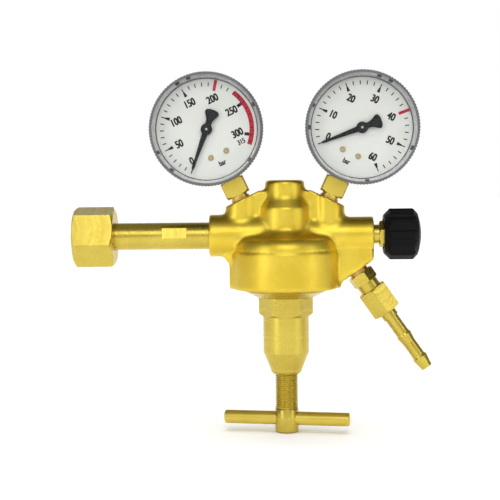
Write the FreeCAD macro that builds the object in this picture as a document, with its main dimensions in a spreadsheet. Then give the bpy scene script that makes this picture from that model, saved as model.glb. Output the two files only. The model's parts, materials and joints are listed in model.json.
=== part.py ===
import FreeCAD, Part
import math
import os

import Sketcher
from FreeCAD import Placement, Rotation, Vector

# A nitrogen regulator for a gas cylinder: a forged brass body with an inlet
# union, two gauges, a spring bonnet with a tee screw, and an outlet valve with
# a hose tail. Millimetres, +Z up, the front faces -Y. The origin is the centre
# of the inlet gasket's face, and the inlet axis runs along +X.

os.makedirs("parts", exist_ok=True)
doc = FreeCAD.newDocument("nitrogen_regulator")

# Driving sizes, in millimetres and degrees.
SIZES = {
    # Clearances
    "thread_play": 0.05,
    "running_play": 0.3,
    "seat_play": 0.1,
    "seal_side_play": 0.2,
    "over_cut": 1.0,
    # Edges and bevels
    "small_edge": 0.5,
    "edge": 0.8,
    "wide_edge": 1.2,
    "hex_bevel_share": 0.58,
    # Inlet union, measured along the inlet axis from the origin
    "inlet_reach": 111.0,
    "gasket_thick": 1.0,
    "gasket_radius": 8.5,
    "gasket_hole_radius": 4.6,
    "collar_radius": 9.9,
    "collar_long": 3.8,
    "pipe_radius": 8.0,
    "pipe_bore_radius": 3.0,
    "pipe_thread_radius": 7.0,
    "pipe_thread_long": 12.0,
    "pipe_flat_across": 14.7,
    "pipe_flat_start": 37.8,
    "pipe_flat_long": 14.8,
    "pipe_flat_angle": 15.0,
    "filter_radius": 4.4,
    "filter_long": 5.0,
    "filter_wall": 1.5,
    "filter_recess_long": 6.0,
    "inlet_nut_across": 32.0,
    "inlet_thread_radius": 11.1,
    "inlet_thread_long": 14.8,
    "inlet_nut_back": 4.5,
    "inlet_nut_inset": 0.4,
    "inlet_nut_angle": 42.8,
    # Forged body, measured from the main axis and the inlet axis
    "inlet_boss_radius": 12.5,
    "inlet_boss_reach": 45.1,
    "valve_boss_radius": 10.5,
    "valve_boss_reach": 52.4,
    "cap_radius": 11.7,
    "cap_top": 32.7,
    "cap_edge": 2.2,
    "shoulder_top": 22.6,
    "shoulder_low": 16.1,
    "tower_radius": 15.6,
    "tower_low": 3.6,
    "dome_top_radius": 25.0,
    "dome_top_drop": 1.0,
    "dome_bend_radius": 29.2,
    "dome_bend_drop": 2.6,
    "dome_edge_radius": 31.3,
    "dome_edge_drop": 8.4,
    "dome_round": 9.0,
    "flare_round": 11.0,
    "bell_radius": 31.85,
    "bell_groove_depth": 1.0,
    "bell_groove_drop": 9.9,
    "bell_groove_edge": 0.3,
    "bell_depth": 32.0,
    "bell_edge": 1.6,
    "web_thick": 16.0,
    "web_round": 3.0,
    "web_left": 33.3,
    "web_left_corner": 36.6,
    "web_left_drop": 17.0,
    "web_lift": 0.4,
    "crest_thick": 12.0,
    "crest_inner": 14.8,
    # Gauge bosses
    "gauge_port_out": 26.2,
    "gauge_port_up": 21.5,
    "gauge_lean": 25.0,
    "gauge_boss_radius": 9.2,
    "gauge_thread_radius": 4.8,
    "gauge_thread_long": 9.2,
    "gauge_hole_radius": 1.5,
    # Outlet port on the lower right of the body
    "outlet_port_out": 43.1,
    "outlet_port_rise": 10.5,
    "outlet_lean": 35.0,
    "outlet_face_down": 12.4,
    "outlet_boss_radius": 7.9,
    "outlet_boss_long": 12.0,
    "outlet_thread_radius": 4.85,
    "outlet_thread_long": 9.0,
    "outlet_hole_radius": 2.4,
    # Chambers in the body
    "capsule_chamber_radius": 9.0,
    "capsule_chamber_top": 15.6,
    "low_chamber_radius": 22.0,
    "low_chamber_top": 12.0,
    "diaphragm_ledge": 16.0,
    "diaphragm_radius": 26.8,
    "bonnet_thread_radius": 28.0,
    "bonnet_thread_top": 19.5,
    "low_hole_out": 16.8,
    "low_hole_radius": 2.0,
    "valve_orifice_radius": 1.8,
    "valve_seat_out": 26.0,
    "valve_chamber_radius": 6.5,
    # Diaphragm and its rings
    "diaphragm_thick": 0.5,
    "diaphragm_dish": 2.0,
    "diaphragm_flat_radius": 12.0,
    "diaphragm_rim_in": 20.5,
    "slip_ring_thick": 2.0,
    "plate_radius": 13.0,
    "plate_thick": 2.0,
    "plate_spigot_radius": 6.2,
    "plate_spigot_long": 3.0,
    "plate_spigot_edge": 1.0,
    # Valve capsule
    "capsule_bore_radius": 5.0,
    "capsule_roof": 2.0,
    "capsule_groove_depth": 1.0,
    "capsule_groove_half": 3.2,
    "capsule_port_radius": 2.2,
    "insert_top": 6.0,
    "insert_long": 4.0,
    "insert_hole_radius": 1.7,
    "insert_nose_low": 1.2,
    "insert_nose_top": 0.4,
    "seal_drop": 8.0,
    "seal_wire_radius": 0.75,
    "poppet_pin_radius": 1.1,
    "poppet_head_radius": 3.6,
    "poppet_head_long": 3.2,
    "poppet_guide_radius": 1.8,
    "poppet_guide_long": 7.0,
    "poppet_spring_radius": 2.9,
    "poppet_wire_radius": 0.4,
    "poppet_spring_turns": 5.0,
    # Bonnet and adjusting screw, measured down from the inlet axis
    "bonnet_flange_radius": 25.0,
    "bonnet_flange_drop": 32.9,
    "bonnet_flange_step": 1.0,
    "bonnet_relief": 0.6,
    "bonnet_neck_radius": 16.5,
    "bonnet_neck_drop": 37.2,
    "bonnet_across": 28.0,
    "bonnet_hex_drop": 37.9,
    "bonnet_hex_long": 10.5,
    "bonnet_hex_bevel": 1.6,
    "bonnet_barrel_radius": 13.65,
    "bonnet_barrel_drop": 70.1,
    "bonnet_nose_radius": 9.5,
    "bonnet_nose_drop": 80.2,
    "bonnet_nose_edge": 1.6,
    "bonnet_nose_round": 3.4,
    "bonnet_drop": 83.0,
    "bonnet_mouth_radius": 19.0,
    "bonnet_mouth_drop": 25.0,
    "spring_bore_radius": 10.6,
    "spring_bore_drop": 72.0,
    "main_spring_radius": 8.1,
    "main_wire_radius": 1.3,
    "main_spring_turns": 5.5,
    "seat_drop": 60.0,
    "seat_radius": 10.1,
    "seat_thick": 4.0,
    "ball_radius": 2.5,
    "ball_nest": 1.0,
    "ball_pocket_share": 0.84,
    "screw_radius": 6.85,
    "screw_drop": 104.0,
    "screw_head_radius": 7.0,
    "screw_head_drop": 118.2,
    "tee_bar_radius": 4.05,
    "tee_bar_long": 76.0,
    "tee_bar_drop": 110.3,
    "tee_bar_angle": 10.0,
    "tee_bar_edge": 1.0,
    # Outlet valve, measured along +X from the main axis
    "gland_neck_radius": 5.7,
    "gland_neck_long": 3.4,
    "gland_across": 14.0,
    "gland_hex_long": 5.2,
    "gland_hex_angle": 10.0,
    "gland_thread_long": 10.0,
    "gland_seal_long": 2.0,
    "stem_radius": 3.0,
    "stem_nose_radius": 2.0,
    "stem_nose_long": 2.0,
    "stem_seal_out": 46.0,
    "stem_seal_radius": 0.6,
    "disc_radius": 5.4,
    "disc_thick": 3.6,
    "disc_seal_radius": 3.6,
    "disc_seal_thick": 1.2,
    "knob_start": 58.5,
    "knob_end": 80.6,
    "knob_inner_bevel": 3.6,
    "knob_outer_bevel": 2.6,
    "knob_dome": 2.2,
    "knob_radius": 15.15,
    "knob_flutes": 12,
    "knob_flute_radius": 2.6,
    "knob_flute_depth": 1.1,
    "knob_recess_radius": 9.2,
    "knob_recess_long": 5.0,
    "knob_insert_radius": 4.6,
    "knob_insert_long": 10.0,
    # Outlet union, measured along the outlet axis from the port's face
    "adapter_seal_radius": 5.75,
    "adapter_seal_thick": 1.8,
    "adapter_across": 14.0,
    "adapter_hex_long": 7.0,
    "adapter_hex_angle": 15.0,
    "adapter_neck_radius": 6.5,
    "adapter_end": 22.0,
    "adapter_bore_radius": 2.5,
    "adapter_seat_wide": 2.2,
    "outlet_nut_across": 17.0,
    "outlet_nut_start": 13.8,
    "outlet_nut_end": 30.1,
    "outlet_nut_shoulder": 3.6,
    "outlet_nut_angle": 30.0,
    "tail_nose_step": 0.5,
    "tail_nose_cone": 1.5,
    "tail_nose_long": 1.4,
    "tail_collar_radius": 4.8,
    "tail_collar_end": 34.4,
    "tail_radius": 4.05,
    "tail_barb_radius": 4.6,
    "tail_first_barb": 47.6,
    "tail_waist_radius": 3.85,
    "tail_second_barb": 64.0,
    "tail_barb_step": 1.3,
    "tail_barb_slope": 5.2,
    "tail_tip_radius": 3.4,
    "tail_end": 71.2,
    "tail_bore_radius": 2.0,
    # Gauges, in each dial's own frame: across, up and towards the reader
    "gauge_block": 14.0,
    "gauge_block_gap": 1.5,
    "gauge_block_high": 10.2,
    "gauge_block_corner": 2.4,
    "gauge_block_bevel": 1.4,
    "gauge_neck_long": 2.6,
    "gauge_neck_radius": 5.1,
    "gauge_washer_radius": 5.7,
    "gauge_washer_thick": 1.2,
    "gauge_stub_radius": 5.5,
    "gauge_bore_radius": 1.2,
    "holder_half": 5.0,
    "holder_inset": 2.2,
    "holder_top": 17.0,
    "holder_front": 0.6,
    "holder_back": 6.0,
    "case_radius": 31.5,
    "case_wall": 1.0,
    "case_back": 9.5,
    "case_front": 13.7,
    "case_edge": 2.5,
    "window_lip": 2.0,
    "window_front": 18.0,
    "window_back": 8.5,
    "window_edge": 1.0,
    "window_thick": 1.6,
    "window_ledge_inset": 1.7,
    "dial_play": 0.2,
    "dial_thick": 0.5,
    "dial_front": 9.4,
    "dial_hole_radius": 2.2,
    "dial_screw_radius": 17.0,
    "dial_screw_angle": 17.0,
    "dial_screw_head": 1.6,
    "dial_screw_shank": 0.8,
    "dial_screw_high": 0.9,
    "dial_screw_edge": 0.4,
    "tube_radius": 20.0,
    "tube_thick": 1.8,
    "tube_nose_share": 0.6,
    "tube_back": 5.0,
    "tube_front": 1.0,
    "tube_start": 106.0,
    "tube_end": 10.0,
    "tip_thick": 1.0,
    "tip_front": 4.3,
    "tip_wall": 1.0,
    "tip_plug_long": 1.2,
    "tip_start": 2.8,
    "tip_reach": 5.6,
    "tip_slot_play": 0.6,
    "tip_slot_start": 0.9,
    "tip_slot_long": 5.7,
    "frame_back": 0.6,
    "frame_plate": 0.8,
    "frame_front": 7.0,
    "frame_right": 14.6,
    "frame_left": 7.0,
    "frame_top": 4.0,
    "frame_low": 20.0,
    "frame_slant": 4.0,
    "frame_foot_half": 4.0,
    "frame_foot_inset": 2.3,
    "pillar_radius": 1.2,
    "low_pillar_across": -2.5,
    "low_pillar_up": -18.0,
    "high_pillar_across": 13.0,
    "high_pillar_up": -5.0,
    "arbor_radius": 0.7,
    "gear_module": 0.4,
    "pinion_teeth": 10,
    "sector_teeth": 60,
    "sector_cut_teeth": 11,
    "gear_backlash": 0.06,
    "gear_pressure": 20.0,
    "gear_root_share": 1.25,
    "sector_addendum": 0.24,
    "pinion_back": 2.4,
    "pinion_long": 3.0,
    "sector_plate": 1.0,
    "sector_back": 3.4,
    "sector_hub_radius": 2.0,
    "sector_hub_angle": 40.0,
    "sector_pivot_angle": 55.2,
    "tail_arm": 5.0,
    "tail_arm_angle": 30.0,
    "link_back": 4.7,
    "link_thick": 0.5,
    "link_half": 1.0,
    "link_pin_radius": 0.45,
    "link_pin_over": 0.3,
    "pointer_back": 11.1,
    "pointer_thick": 0.4,
    "pointer_inset": 3.1,
    "pointer_half": 1.5,
    "pointer_tip_half": 0.25,
    "pointer_neck": 17.0,
    "pointer_neck_share": 0.8,
    "pointer_taper_long": 2.5,
    "pointer_hub_radius": 3.1,
    "pointer_hub_back": 10.2,
    "pointer_hub_step": 0.3,
    "pointer_tail_long": 11.0,
    "pointer_tail_half": 3.7,
    "pointer_zero": 135.0,
}


class Size:
    """A size of the model: its number now, and the sheet expression behind it."""

    def __init__(self, value, text):
        self.value = float(value)
        self.text = text

    def _joined(self, other, sign, value):
        return Size(value, "(%s %s %s)" % (self.text, sign, other.text))

    def __add__(self, other):
        other = as_size(other)
        return self._joined(other, "+", self.value + other.value)

    def __radd__(self, other):
        return as_size(other) + self

    def __sub__(self, other):
        other = as_size(other)
        return self._joined(other, "-", self.value - other.value)

    def __rsub__(self, other):
        return as_size(other) - self

    def __mul__(self, other):
        other = as_size(other)
        return self._joined(other, "*", self.value * other.value)

    def __rmul__(self, other):
        return as_size(other) * self

    def __truediv__(self, other):
        other = as_size(other)
        return self._joined(other, "/", self.value / other.value)

    def __neg__(self):
        return Size(-self.value, "(0 - %s)" % self.text)


def as_size(value):
    """The value as a Size, so that plain numbers and sizes mix."""
    if isinstance(value, Size):
        return value
    return Size(value, "(%s)" % repr(float(value)))


def number(value):
    """The plain number of a size."""
    return as_size(value).value


def sine(angle):
    """The sine of an angle in degrees, still tied to the sheet."""
    angle = as_size(angle)
    return Size(math.sin(math.radians(angle.value)), "sin(%s * 1 deg)" % angle.text)


def cosine(angle):
    """The cosine of an angle in degrees, still tied to the sheet."""
    angle = as_size(angle)
    return Size(math.cos(math.radians(angle.value)), "cos(%s * 1 deg)" % angle.text)


class Sheet:
    """The spreadsheet of driving sizes, read by name."""

    def __init__(self, sizes):
        self.cells = doc.addObject("Spreadsheet::Sheet", "sizes")
        for row, alias in enumerate(sizes, start=1):
            self.cells.set("A%d" % row, alias.replace("_", " "))
            self.cells.set("B%d" % row, str(sizes[alias]))
            self.cells.setAlias("B%d" % row, alias)
            setattr(self, alias, Size(sizes[alias], "sizes.%s" % alias))


size = Sheet(SIZES)
doc.recompute()

# Sizes that follow from others
size.outlet_port_drop = size.bell_depth - size.outlet_port_rise
size.gauge_block_top = size.case_radius + size.gauge_block_gap
size.gauge_block_low = size.gauge_block_top + size.gauge_block_high
size.gauge_rise = size.gauge_block_low + size.gauge_neck_long
size.holder_low = size.case_radius - size.holder_inset
size.frame_foot = size.holder_low - size.frame_foot_inset
size.window_radius = size.case_radius + size.window_lip
size.window_ledge_radius = size.case_radius - size.window_ledge_inset
size.dial_radius = size.window_ledge_radius - size.dial_play
size.pointer_long = size.dial_radius - size.pointer_inset

ACROSS = Vector(1, 0, 0)
BACK = Vector(0, 1, 0)
UP = Vector(0, 0, 1)
ROOT_THREE = math.sqrt(3.0)

ALONG_X = Rotation(BACK, 90)
Z_TO_BACK = Rotation(ACROSS, -90)
Z_TO_FRONT = Rotation(ACROSS, 90)

NODES = []


def node(label, obj):
    """Names a finished piece, which is then written to a file of that name."""
    obj.Label = label
    NODES.append((label, obj))
    return obj


def bind(obj, **values):
    """Ties properties of an object to the sheet."""
    for name, value in values.items():
        value = as_size(value)
        obj.setExpression(name, value.text)


def place(obj, base=(0, 0, 0), rotation=Rotation()):
    """Turns an object, then moves it to a point given by three sizes."""
    obj.Placement = Placement(Vector(*[number(part) for part in base]), rotation)
    for axis, part in zip("xyz", base):
        if isinstance(part, Size):
            obj.setExpression(".Placement.Base." + axis, part.text)
    return obj


def plane_of(body, role):
    """One of a body's own origin planes."""
    for feature in body.Origin.OriginFeatures:
        if feature.Role == role:
            return feature
    raise RuntimeError("no plane " + role)


def arc_between(start, end, radius):
    """An arc from start to end. A positive radius bulges to the left of the way."""
    chord = end - start
    reach = abs(radius)
    rise = math.sqrt(max(reach * reach - chord.Length ** 2 / 4, 0.0))
    left = Vector(-chord.y, chord.x, 0) / chord.Length
    side = -1.0 if radius > 0 else 1.0
    centre = (start + end) / 2 + left * rise * side
    first, last = (end, start) if radius > 0 else (start, end)
    first_angle = math.atan2(first.y - centre.y, first.x - centre.x)
    last_angle = math.atan2(last.y - centre.y, last.x - centre.x)
    circle = Part.Circle(centre, UP, reach)
    return Part.ArcOfCircle(circle, first_angle, last_angle)


def outline(body, label, role, points):
    """A closed sketch through points (across, up) or (across, up, arc radius).

    The third value bends the edge that leaves its point. Every corner and
    every radius is a constraint tied to the sheet.
    """
    sketch = body.newObject("Sketcher::SketchObject", label + "_outline")
    sketch.AttachmentSupport = (plane_of(body, role), [""])
    sketch.MapMode = "FlatFace"
    corners = [Vector(number(point[0]), number(point[1]), 0) for point in points]
    edges = []
    for index, point in enumerate(points):
        end = corners[(index + 1) % len(points)]
        if len(point) == 3:
            edges.append(arc_between(corners[index], end, number(point[2])))
        else:
            edges.append(Part.LineSegment(corners[index], end))
    sketch.addGeometry(edges, False)

    def edge_end(index, leaving):
        """The end number of an edge: arcs that bulge left run backwards."""
        point = points[index]
        backwards = len(point) == 3 and number(point[2]) > 0
        return (1 if leaving else 2) if not backwards else (2 if leaving else 1)

    constraints = []
    ties = []
    for index, point in enumerate(points):
        following = (index + 1) % len(points)
        constraints.append(Sketcher.Constraint("Coincident", index, edge_end(index, False),
                                               following, edge_end(following, True)))
        for kind, value in (("DistanceX", point[0]), ("DistanceY", point[1])):
            ties.append((len(constraints), value))
            constraints.append(Sketcher.Constraint(kind, -1, 1, index, edge_end(index, True),
                                                   number(value)))
        if len(point) == 3:
            bend = as_size(point[2])
            ties.append((len(constraints), bend if bend.value > 0 else -bend))
            constraints.append(Sketcher.Constraint("Radius", index, abs(bend.value)))
    sketch.addConstraint(constraints)
    for index, value in ties:
        if isinstance(value, Size):
            sketch.setExpression("Constraints[%d]" % index, value.text)
    return sketch


def turned(label, points, sweep=360):
    """A turned piece: an outline of (radius, height) revolved about +Z."""
    body = doc.addObject("PartDesign::Body", label)
    sketch = outline(body, label, "XZ_Plane", points)
    turn = body.newObject("PartDesign::Revolution", label + "_turn")
    turn.Profile = sketch
    turn.ReferenceAxis = (sketch, ["V_Axis"])
    turn.Angle = sweep
    body.Tip = turn
    sketch.Visibility = False
    return body


def plate(label, points, thick, role="XY_Plane", middle=False):
    """A flat piece: an outline padded by its thickness."""
    body = doc.addObject("PartDesign::Body", label)
    sketch = outline(body, label, role, points)
    pad = body.newObject("PartDesign::Pad", label + "_pad")
    pad.Profile = sketch
    pad.Midplane = middle
    bind(pad, Length=thick)
    body.Tip = pad
    return body


def rod(label, radius, length, base=(0, 0, 0), rotation=Rotation()):
    """A plain cylinder, for pins and drilled holes."""
    piece = doc.addObject("Part::Cylinder", label)
    bind(piece, Radius=radius, Height=length)
    return place(piece, base, rotation)


def block(label, extent, base=(0, 0, 0), rotation=Rotation()):
    """A plain box from its lowest corner."""
    piece = doc.addObject("Part::Box", label)
    bind(piece, Length=extent[0], Width=extent[1], Height=extent[2])
    return place(piece, base, rotation)


def hexagon(label, across, length, base=(0, 0, 0), rotation=Rotation()):
    """A hexagonal bar, given across its flats."""
    piece = doc.addObject("Part::Prism", label)
    piece.Polygon = 6
    bind(piece, Circumradius=as_size(across) / ROOT_THREE, Height=length)
    return place(piece, base, rotation)


def cut(label, base, *tools):
    """What is left of a piece once the tools are taken away."""
    result = doc.addObject("Part::Cut", label)
    result.Base = base
    result.Tool = tools[0] if len(tools) == 1 else fuse(label + "_tools", *tools)
    return result


def fuse(label, *parts):
    """Several solids made one."""
    result = doc.addObject("Part::MultiFuse", label)
    result.Shapes = list(parts)
    result.Refine = True
    return result


def common(label, first, second):
    """What two solids share."""
    result = doc.addObject("Part::MultiCommon", label)
    result.Shapes = [first, second]
    return result


def hexed(label, base, across, start, length, turn=0):
    """Cuts six flats on a turned piece between two heights."""
    sleeve = rod(label + "_sleeve", across, length, (0, 0, start))
    bar = hexagon(label + "_bar", across, length, (0, 0, start), Rotation(UP, turn))
    return cut(label, base, cut(label + "_flats", sleeve, bar))


def grouped(label, *parts):
    """Separate solids that share one node."""
    result = doc.addObject("Part::Compound", label)
    result.Links = list(parts)
    return result


# Inlet union: gasket, filter, pipe and nut, all along +X

def make_inlet():
    """The cylinder connection, from the gasket's face to the body."""
    gasket_end = size.gasket_thick
    gasket = turned("gasket", [
        (size.gasket_hole_radius, 0),
        (size.gasket_radius, 0),
        (size.gasket_radius, gasket_end),
        (size.gasket_hole_radius, gasket_end),
    ])
    node("inlet_gasket", place(gasket, rotation=ALONG_X))

    recess_radius = size.filter_radius + size.thread_play
    recess_end = gasket_end + size.filter_recess_long
    boss_face = size.inlet_reach - size.inlet_boss_reach
    collar_end = gasket_end + size.collar_long
    thread_end = boss_face + size.pipe_thread_long
    blank = turned("pipe", [
        (recess_radius, gasket_end),
        (size.collar_radius - size.small_edge, gasket_end),
        (size.collar_radius, gasket_end + size.small_edge),
        (size.collar_radius, collar_end),
        (size.pipe_radius, collar_end),
        (size.pipe_radius, boss_face),
        (size.pipe_thread_radius, boss_face),
        (size.pipe_thread_radius, thread_end - size.edge),
        (size.pipe_thread_radius - size.edge, thread_end),
        (size.pipe_bore_radius, thread_end),
        (size.pipe_bore_radius, recess_end),
        (recess_radius, recess_end),
    ])
    flat_depth = size.pipe_radius
    flats = []
    for name, side in (("near", 1), ("far", -1)):
        low = size.pipe_flat_across / 2 if side == 1 else -(size.pipe_flat_across / 2) - flat_depth
        flats.append(block("pipe_flat_" + name,
                           (flat_depth, size.pipe_radius * 2, size.pipe_flat_long),
                           (low, -size.pipe_radius, size.pipe_flat_start)))
    pipe = cut("flatted_pipe", blank, *flats)
    turn = Rotation(ACROSS, 90 - size.pipe_flat_angle.value)
    node("inlet_pipe", place(pipe, rotation=turn.multiply(ALONG_X)))

    filter_start = recess_end - size.filter_long
    cup = turned("filter", [
        (0, filter_start),
        (size.filter_radius, filter_start),
        (size.filter_radius, recess_end),
        (size.filter_radius - size.filter_wall, recess_end),
        (size.filter_radius - size.filter_wall, filter_start + size.filter_wall),
        (0, filter_start + size.filter_wall),
    ])
    node("inlet_filter", place(cup, rotation=ALONG_X))

    corner = size.inlet_nut_across / ROOT_THREE
    face = size.inlet_nut_across / 2 - size.inlet_nut_inset
    bevel = (corner - face) * size.hex_bevel_share
    low = -size.inlet_thread_long
    back = collar_end + size.seat_play
    high = back + size.inlet_nut_back
    hole = size.pipe_radius + size.running_play
    cavity = size.collar_radius + size.running_play
    nut_blank = turned("nut", [
        (size.inlet_thread_radius + size.edge, low),
        (face, low),
        (corner, low + bevel),
        (corner, high - bevel),
        (face, high),
        (hole, high),
        (hole, back),
        (cavity, back),
        (cavity, 0),
        (size.inlet_thread_radius, 0),
        (size.inlet_thread_radius, low + size.edge),
    ])
    nut = hexed("inlet_nut_hex", nut_blank, size.inlet_nut_across, low, high - low,
                size.inlet_nut_angle.value)
    node("inlet_nut", place(nut, rotation=ALONG_X))


# Forged body, with its chambers and ports

def gauge_axis(side):
    """Turns +Z to the outward axis of a gauge port: side is 1 right, -1 left."""
    return Rotation(BACK, side * size.gauge_lean.value)


def into_gauge_port(side):
    """Turns +Z to the drilling direction of a gauge port."""
    return Rotation(BACK, 180 + side * size.gauge_lean.value)


def port_point(side, depth=0):
    """A point of a gauge port's axis, some way in from its face."""
    depth = as_size(depth)
    return (size.inlet_reach + (size.gauge_port_out - depth * sine(size.gauge_lean)) * side,
            0,
            size.gauge_port_up - depth * cosine(size.gauge_lean))


def outlet_axis():
    """Turns +Z to the outward axis of the outlet."""
    return Rotation(BACK, 180 - size.outlet_lean.value)


def into_outlet():
    """Turns +Z to the drilling direction of the outlet port."""
    return Rotation(BACK, -size.outlet_lean.value)


def outlet_point(along=0):
    """A point of the outlet's axis, some way out from the port's face."""
    along = as_size(along)
    return (size.inlet_reach + size.outlet_port_out + along * sine(size.outlet_lean),
            0,
            -size.outlet_port_drop - along * cosine(size.outlet_lean))


def forging_blank():
    """The outside of the forging: bell, tower, web and bosses."""
    main = size.inlet_reach
    groove_low = -size.bell_groove_drop
    groove_in = size.bell_radius - size.bell_groove_depth
    bell = turned("bell", [
        (0, -size.bell_depth),
        (size.bell_radius - size.bell_edge, -size.bell_depth, -size.bell_edge),
        (size.bell_radius, -size.bell_depth + size.bell_edge),
        (size.bell_radius, groove_low),
        (groove_in, groove_low + size.bell_groove_edge),
        (groove_in, -size.dome_edge_drop - size.bell_groove_edge),
        (size.dome_edge_radius, -size.dome_edge_drop, -size.dome_round),
        (size.dome_bend_radius, -size.dome_bend_drop, -size.dome_round),
        (size.dome_top_radius, -size.dome_top_drop, size.flare_round),
        (size.tower_radius, size.tower_low),
        (size.tower_radius, size.shoulder_low),
        (size.cap_radius, size.shoulder_top),
        (size.cap_radius, size.cap_top - size.cap_edge, -size.cap_edge),
        (size.cap_radius - size.cap_edge, size.cap_top),
        (0, size.cap_top),
    ])
    place(bell, (main, 0, 0))

    low = -size.bell_depth + size.web_lift
    low_x = size.outlet_port_out - size.outlet_face_down * cosine(size.outlet_lean)
    low_z = -size.outlet_port_drop - size.outlet_face_down * sine(size.outlet_lean)
    outlet_slope = sine(size.outlet_lean) / cosine(size.outlet_lean)
    high_z = -size.outlet_port_drop + (size.valve_boss_reach - size.outlet_port_out) * outlet_slope
    web = plate("web", [
        (-size.web_left, low),
        (low_x, low),
        (low_x, low_z),
        (size.valve_boss_reach, high_z),
        (size.valve_boss_reach, 0),
        (-size.web_left_corner, 0),
        (-size.web_left_corner, -size.inlet_boss_radius),
        (-size.web_left, -size.web_left_drop),
    ], size.web_thick, "XZ_Plane", middle=True)
    doc.recompute()
    pad = web.Tip
    half = size.web_thick.value / 2
    faces = []
    for index, face in enumerate(pad.Shape.Faces, start=1):
        if abs(abs(face.CenterOfMass.y) - half) < 0.001:
            faces.append("Face%d" % index)
    rounding = web.newObject("PartDesign::Fillet", "web_rounding")
    rounding.Base = (pad, faces)
    bind(rounding, Radius=size.web_round)
    web.Tip = rounding
    place(web, (main, 0, 0))

    inlet_boss = rod("inlet_boss", size.inlet_boss_radius, size.inlet_boss_reach,
                     (main - size.inlet_boss_reach, 0, 0), ALONG_X)
    valve_boss = rod("valve_boss", size.valve_boss_radius, size.valve_boss_reach,
                     (main, 0, 0), ALONG_X)
    outlet_boss = rod("outlet_boss", size.outlet_boss_radius, size.outlet_boss_long,
                      outlet_point(), into_outlet())

    slope = sine(size.gauge_lean) / cosine(size.gauge_lean)
    crest_high = size.gauge_port_up + (size.gauge_port_out - size.crest_inner) * slope
    crest = plate("crest", [
        (-size.gauge_port_out, 0),
        (size.gauge_port_out, 0),
        (size.gauge_port_out, size.gauge_port_up),
        (size.crest_inner, crest_high),
        (size.crest_inner, size.shoulder_low),
        (-size.crest_inner, size.shoulder_low),
        (-size.crest_inner, crest_high),
        (-size.gauge_port_out, size.gauge_port_up),
    ], size.crest_thick, "XZ_Plane", middle=True)
    place(crest, (main, 0, 0))
    columns = []
    for name, side in (("left", -1), ("right", 1)):
        column = rod("gauge_column_" + name, size.gauge_boss_radius,
                     size.gauge_port_up + size.gauge_boss_radius,
                     (main + size.gauge_port_out * side, 0, 0))
        above = rod("port_face_" + name, size.gauge_boss_radius * 2, size.gauge_boss_radius * 2,
                    port_point(side), gauge_axis(side))
        columns.append(cut("gauge_boss_" + name, column, above))
    return fuse("forging_blank", bell, web, crest, inlet_boss, valve_boss, outlet_boss, *columns)


def forging_chambers():
    """Everything that is bored out of the forging."""
    main = size.inlet_reach
    capsule = size.capsule_chamber_radius
    rim = size.diaphragm_radius + size.running_play
    tools = [place(turned("chambers", [
        (0, -size.bell_depth - size.over_cut),
        (size.bonnet_thread_radius, -size.bell_depth - size.over_cut),
        (size.bonnet_thread_radius, -size.bonnet_thread_top),
        (rim, -size.bonnet_thread_top),
        (rim, -size.diaphragm_ledge),
        (size.low_chamber_radius, -size.diaphragm_ledge),
        (size.low_chamber_radius, -size.low_chamber_top),
        (capsule, -size.low_chamber_top),
        (capsule, size.capsule_chamber_top),
        (0, size.capsule_chamber_top),
    ]), (main, 0, 0))]

    boss_face = main - size.inlet_boss_reach
    tools.append(rod("inlet_tapping", size.pipe_thread_radius + size.thread_play,
                     size.pipe_thread_long + size.over_cut, (boss_face, 0, 0), ALONG_X))
    tools.append(rod("inlet_passage", size.pipe_bore_radius, size.inlet_boss_reach,
                     (boss_face, 0, 0), ALONG_X))
    tools.append(rod("valve_chamber", size.valve_chamber_radius,
                     size.valve_boss_reach - size.valve_seat_out,
                     (main + size.valve_seat_out, 0, 0), ALONG_X))
    tools.append(rod("valve_orifice", size.valve_orifice_radius,
                     size.valve_seat_out - size.low_hole_out,
                     (main + size.low_hole_out, 0, 0), ALONG_X))
    tools.append(rod("low_passage", size.low_hole_radius,
                     size.low_chamber_top + size.valve_orifice_radius,
                     (main + size.low_hole_out, 0, -size.low_chamber_top)))
    for name, side in (("left", -1), ("right", 1)):
        tools.append(rod("gauge_tapping_" + name, size.gauge_thread_radius + size.thread_play,
                         size.gauge_thread_long + size.over_cut,
                         port_point(side), into_gauge_port(side)))
        tools.append(rod("gauge_passage_" + name, size.gauge_hole_radius,
                         size.gauge_port_up / cosine(size.gauge_lean),
                         port_point(side), into_gauge_port(side)))
    tools.append(rod("outlet_tapping", size.outlet_thread_radius + size.thread_play,
                     size.outlet_thread_long + size.over_cut, outlet_point(), into_outlet()))
    tools.append(rod("outlet_passage", size.outlet_hole_radius,
                     size.outlet_port_drop / cosine(size.outlet_lean), outlet_point(), into_outlet()))
    return tools


def make_forging():
    """The body forging with its chambers."""
    blank = forging_blank()
    tools = forging_chambers()
    node("body_forging", cut("forging", blank, *tools))


# Diaphragm, its rings and the valve capsule, about the main axis

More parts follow.
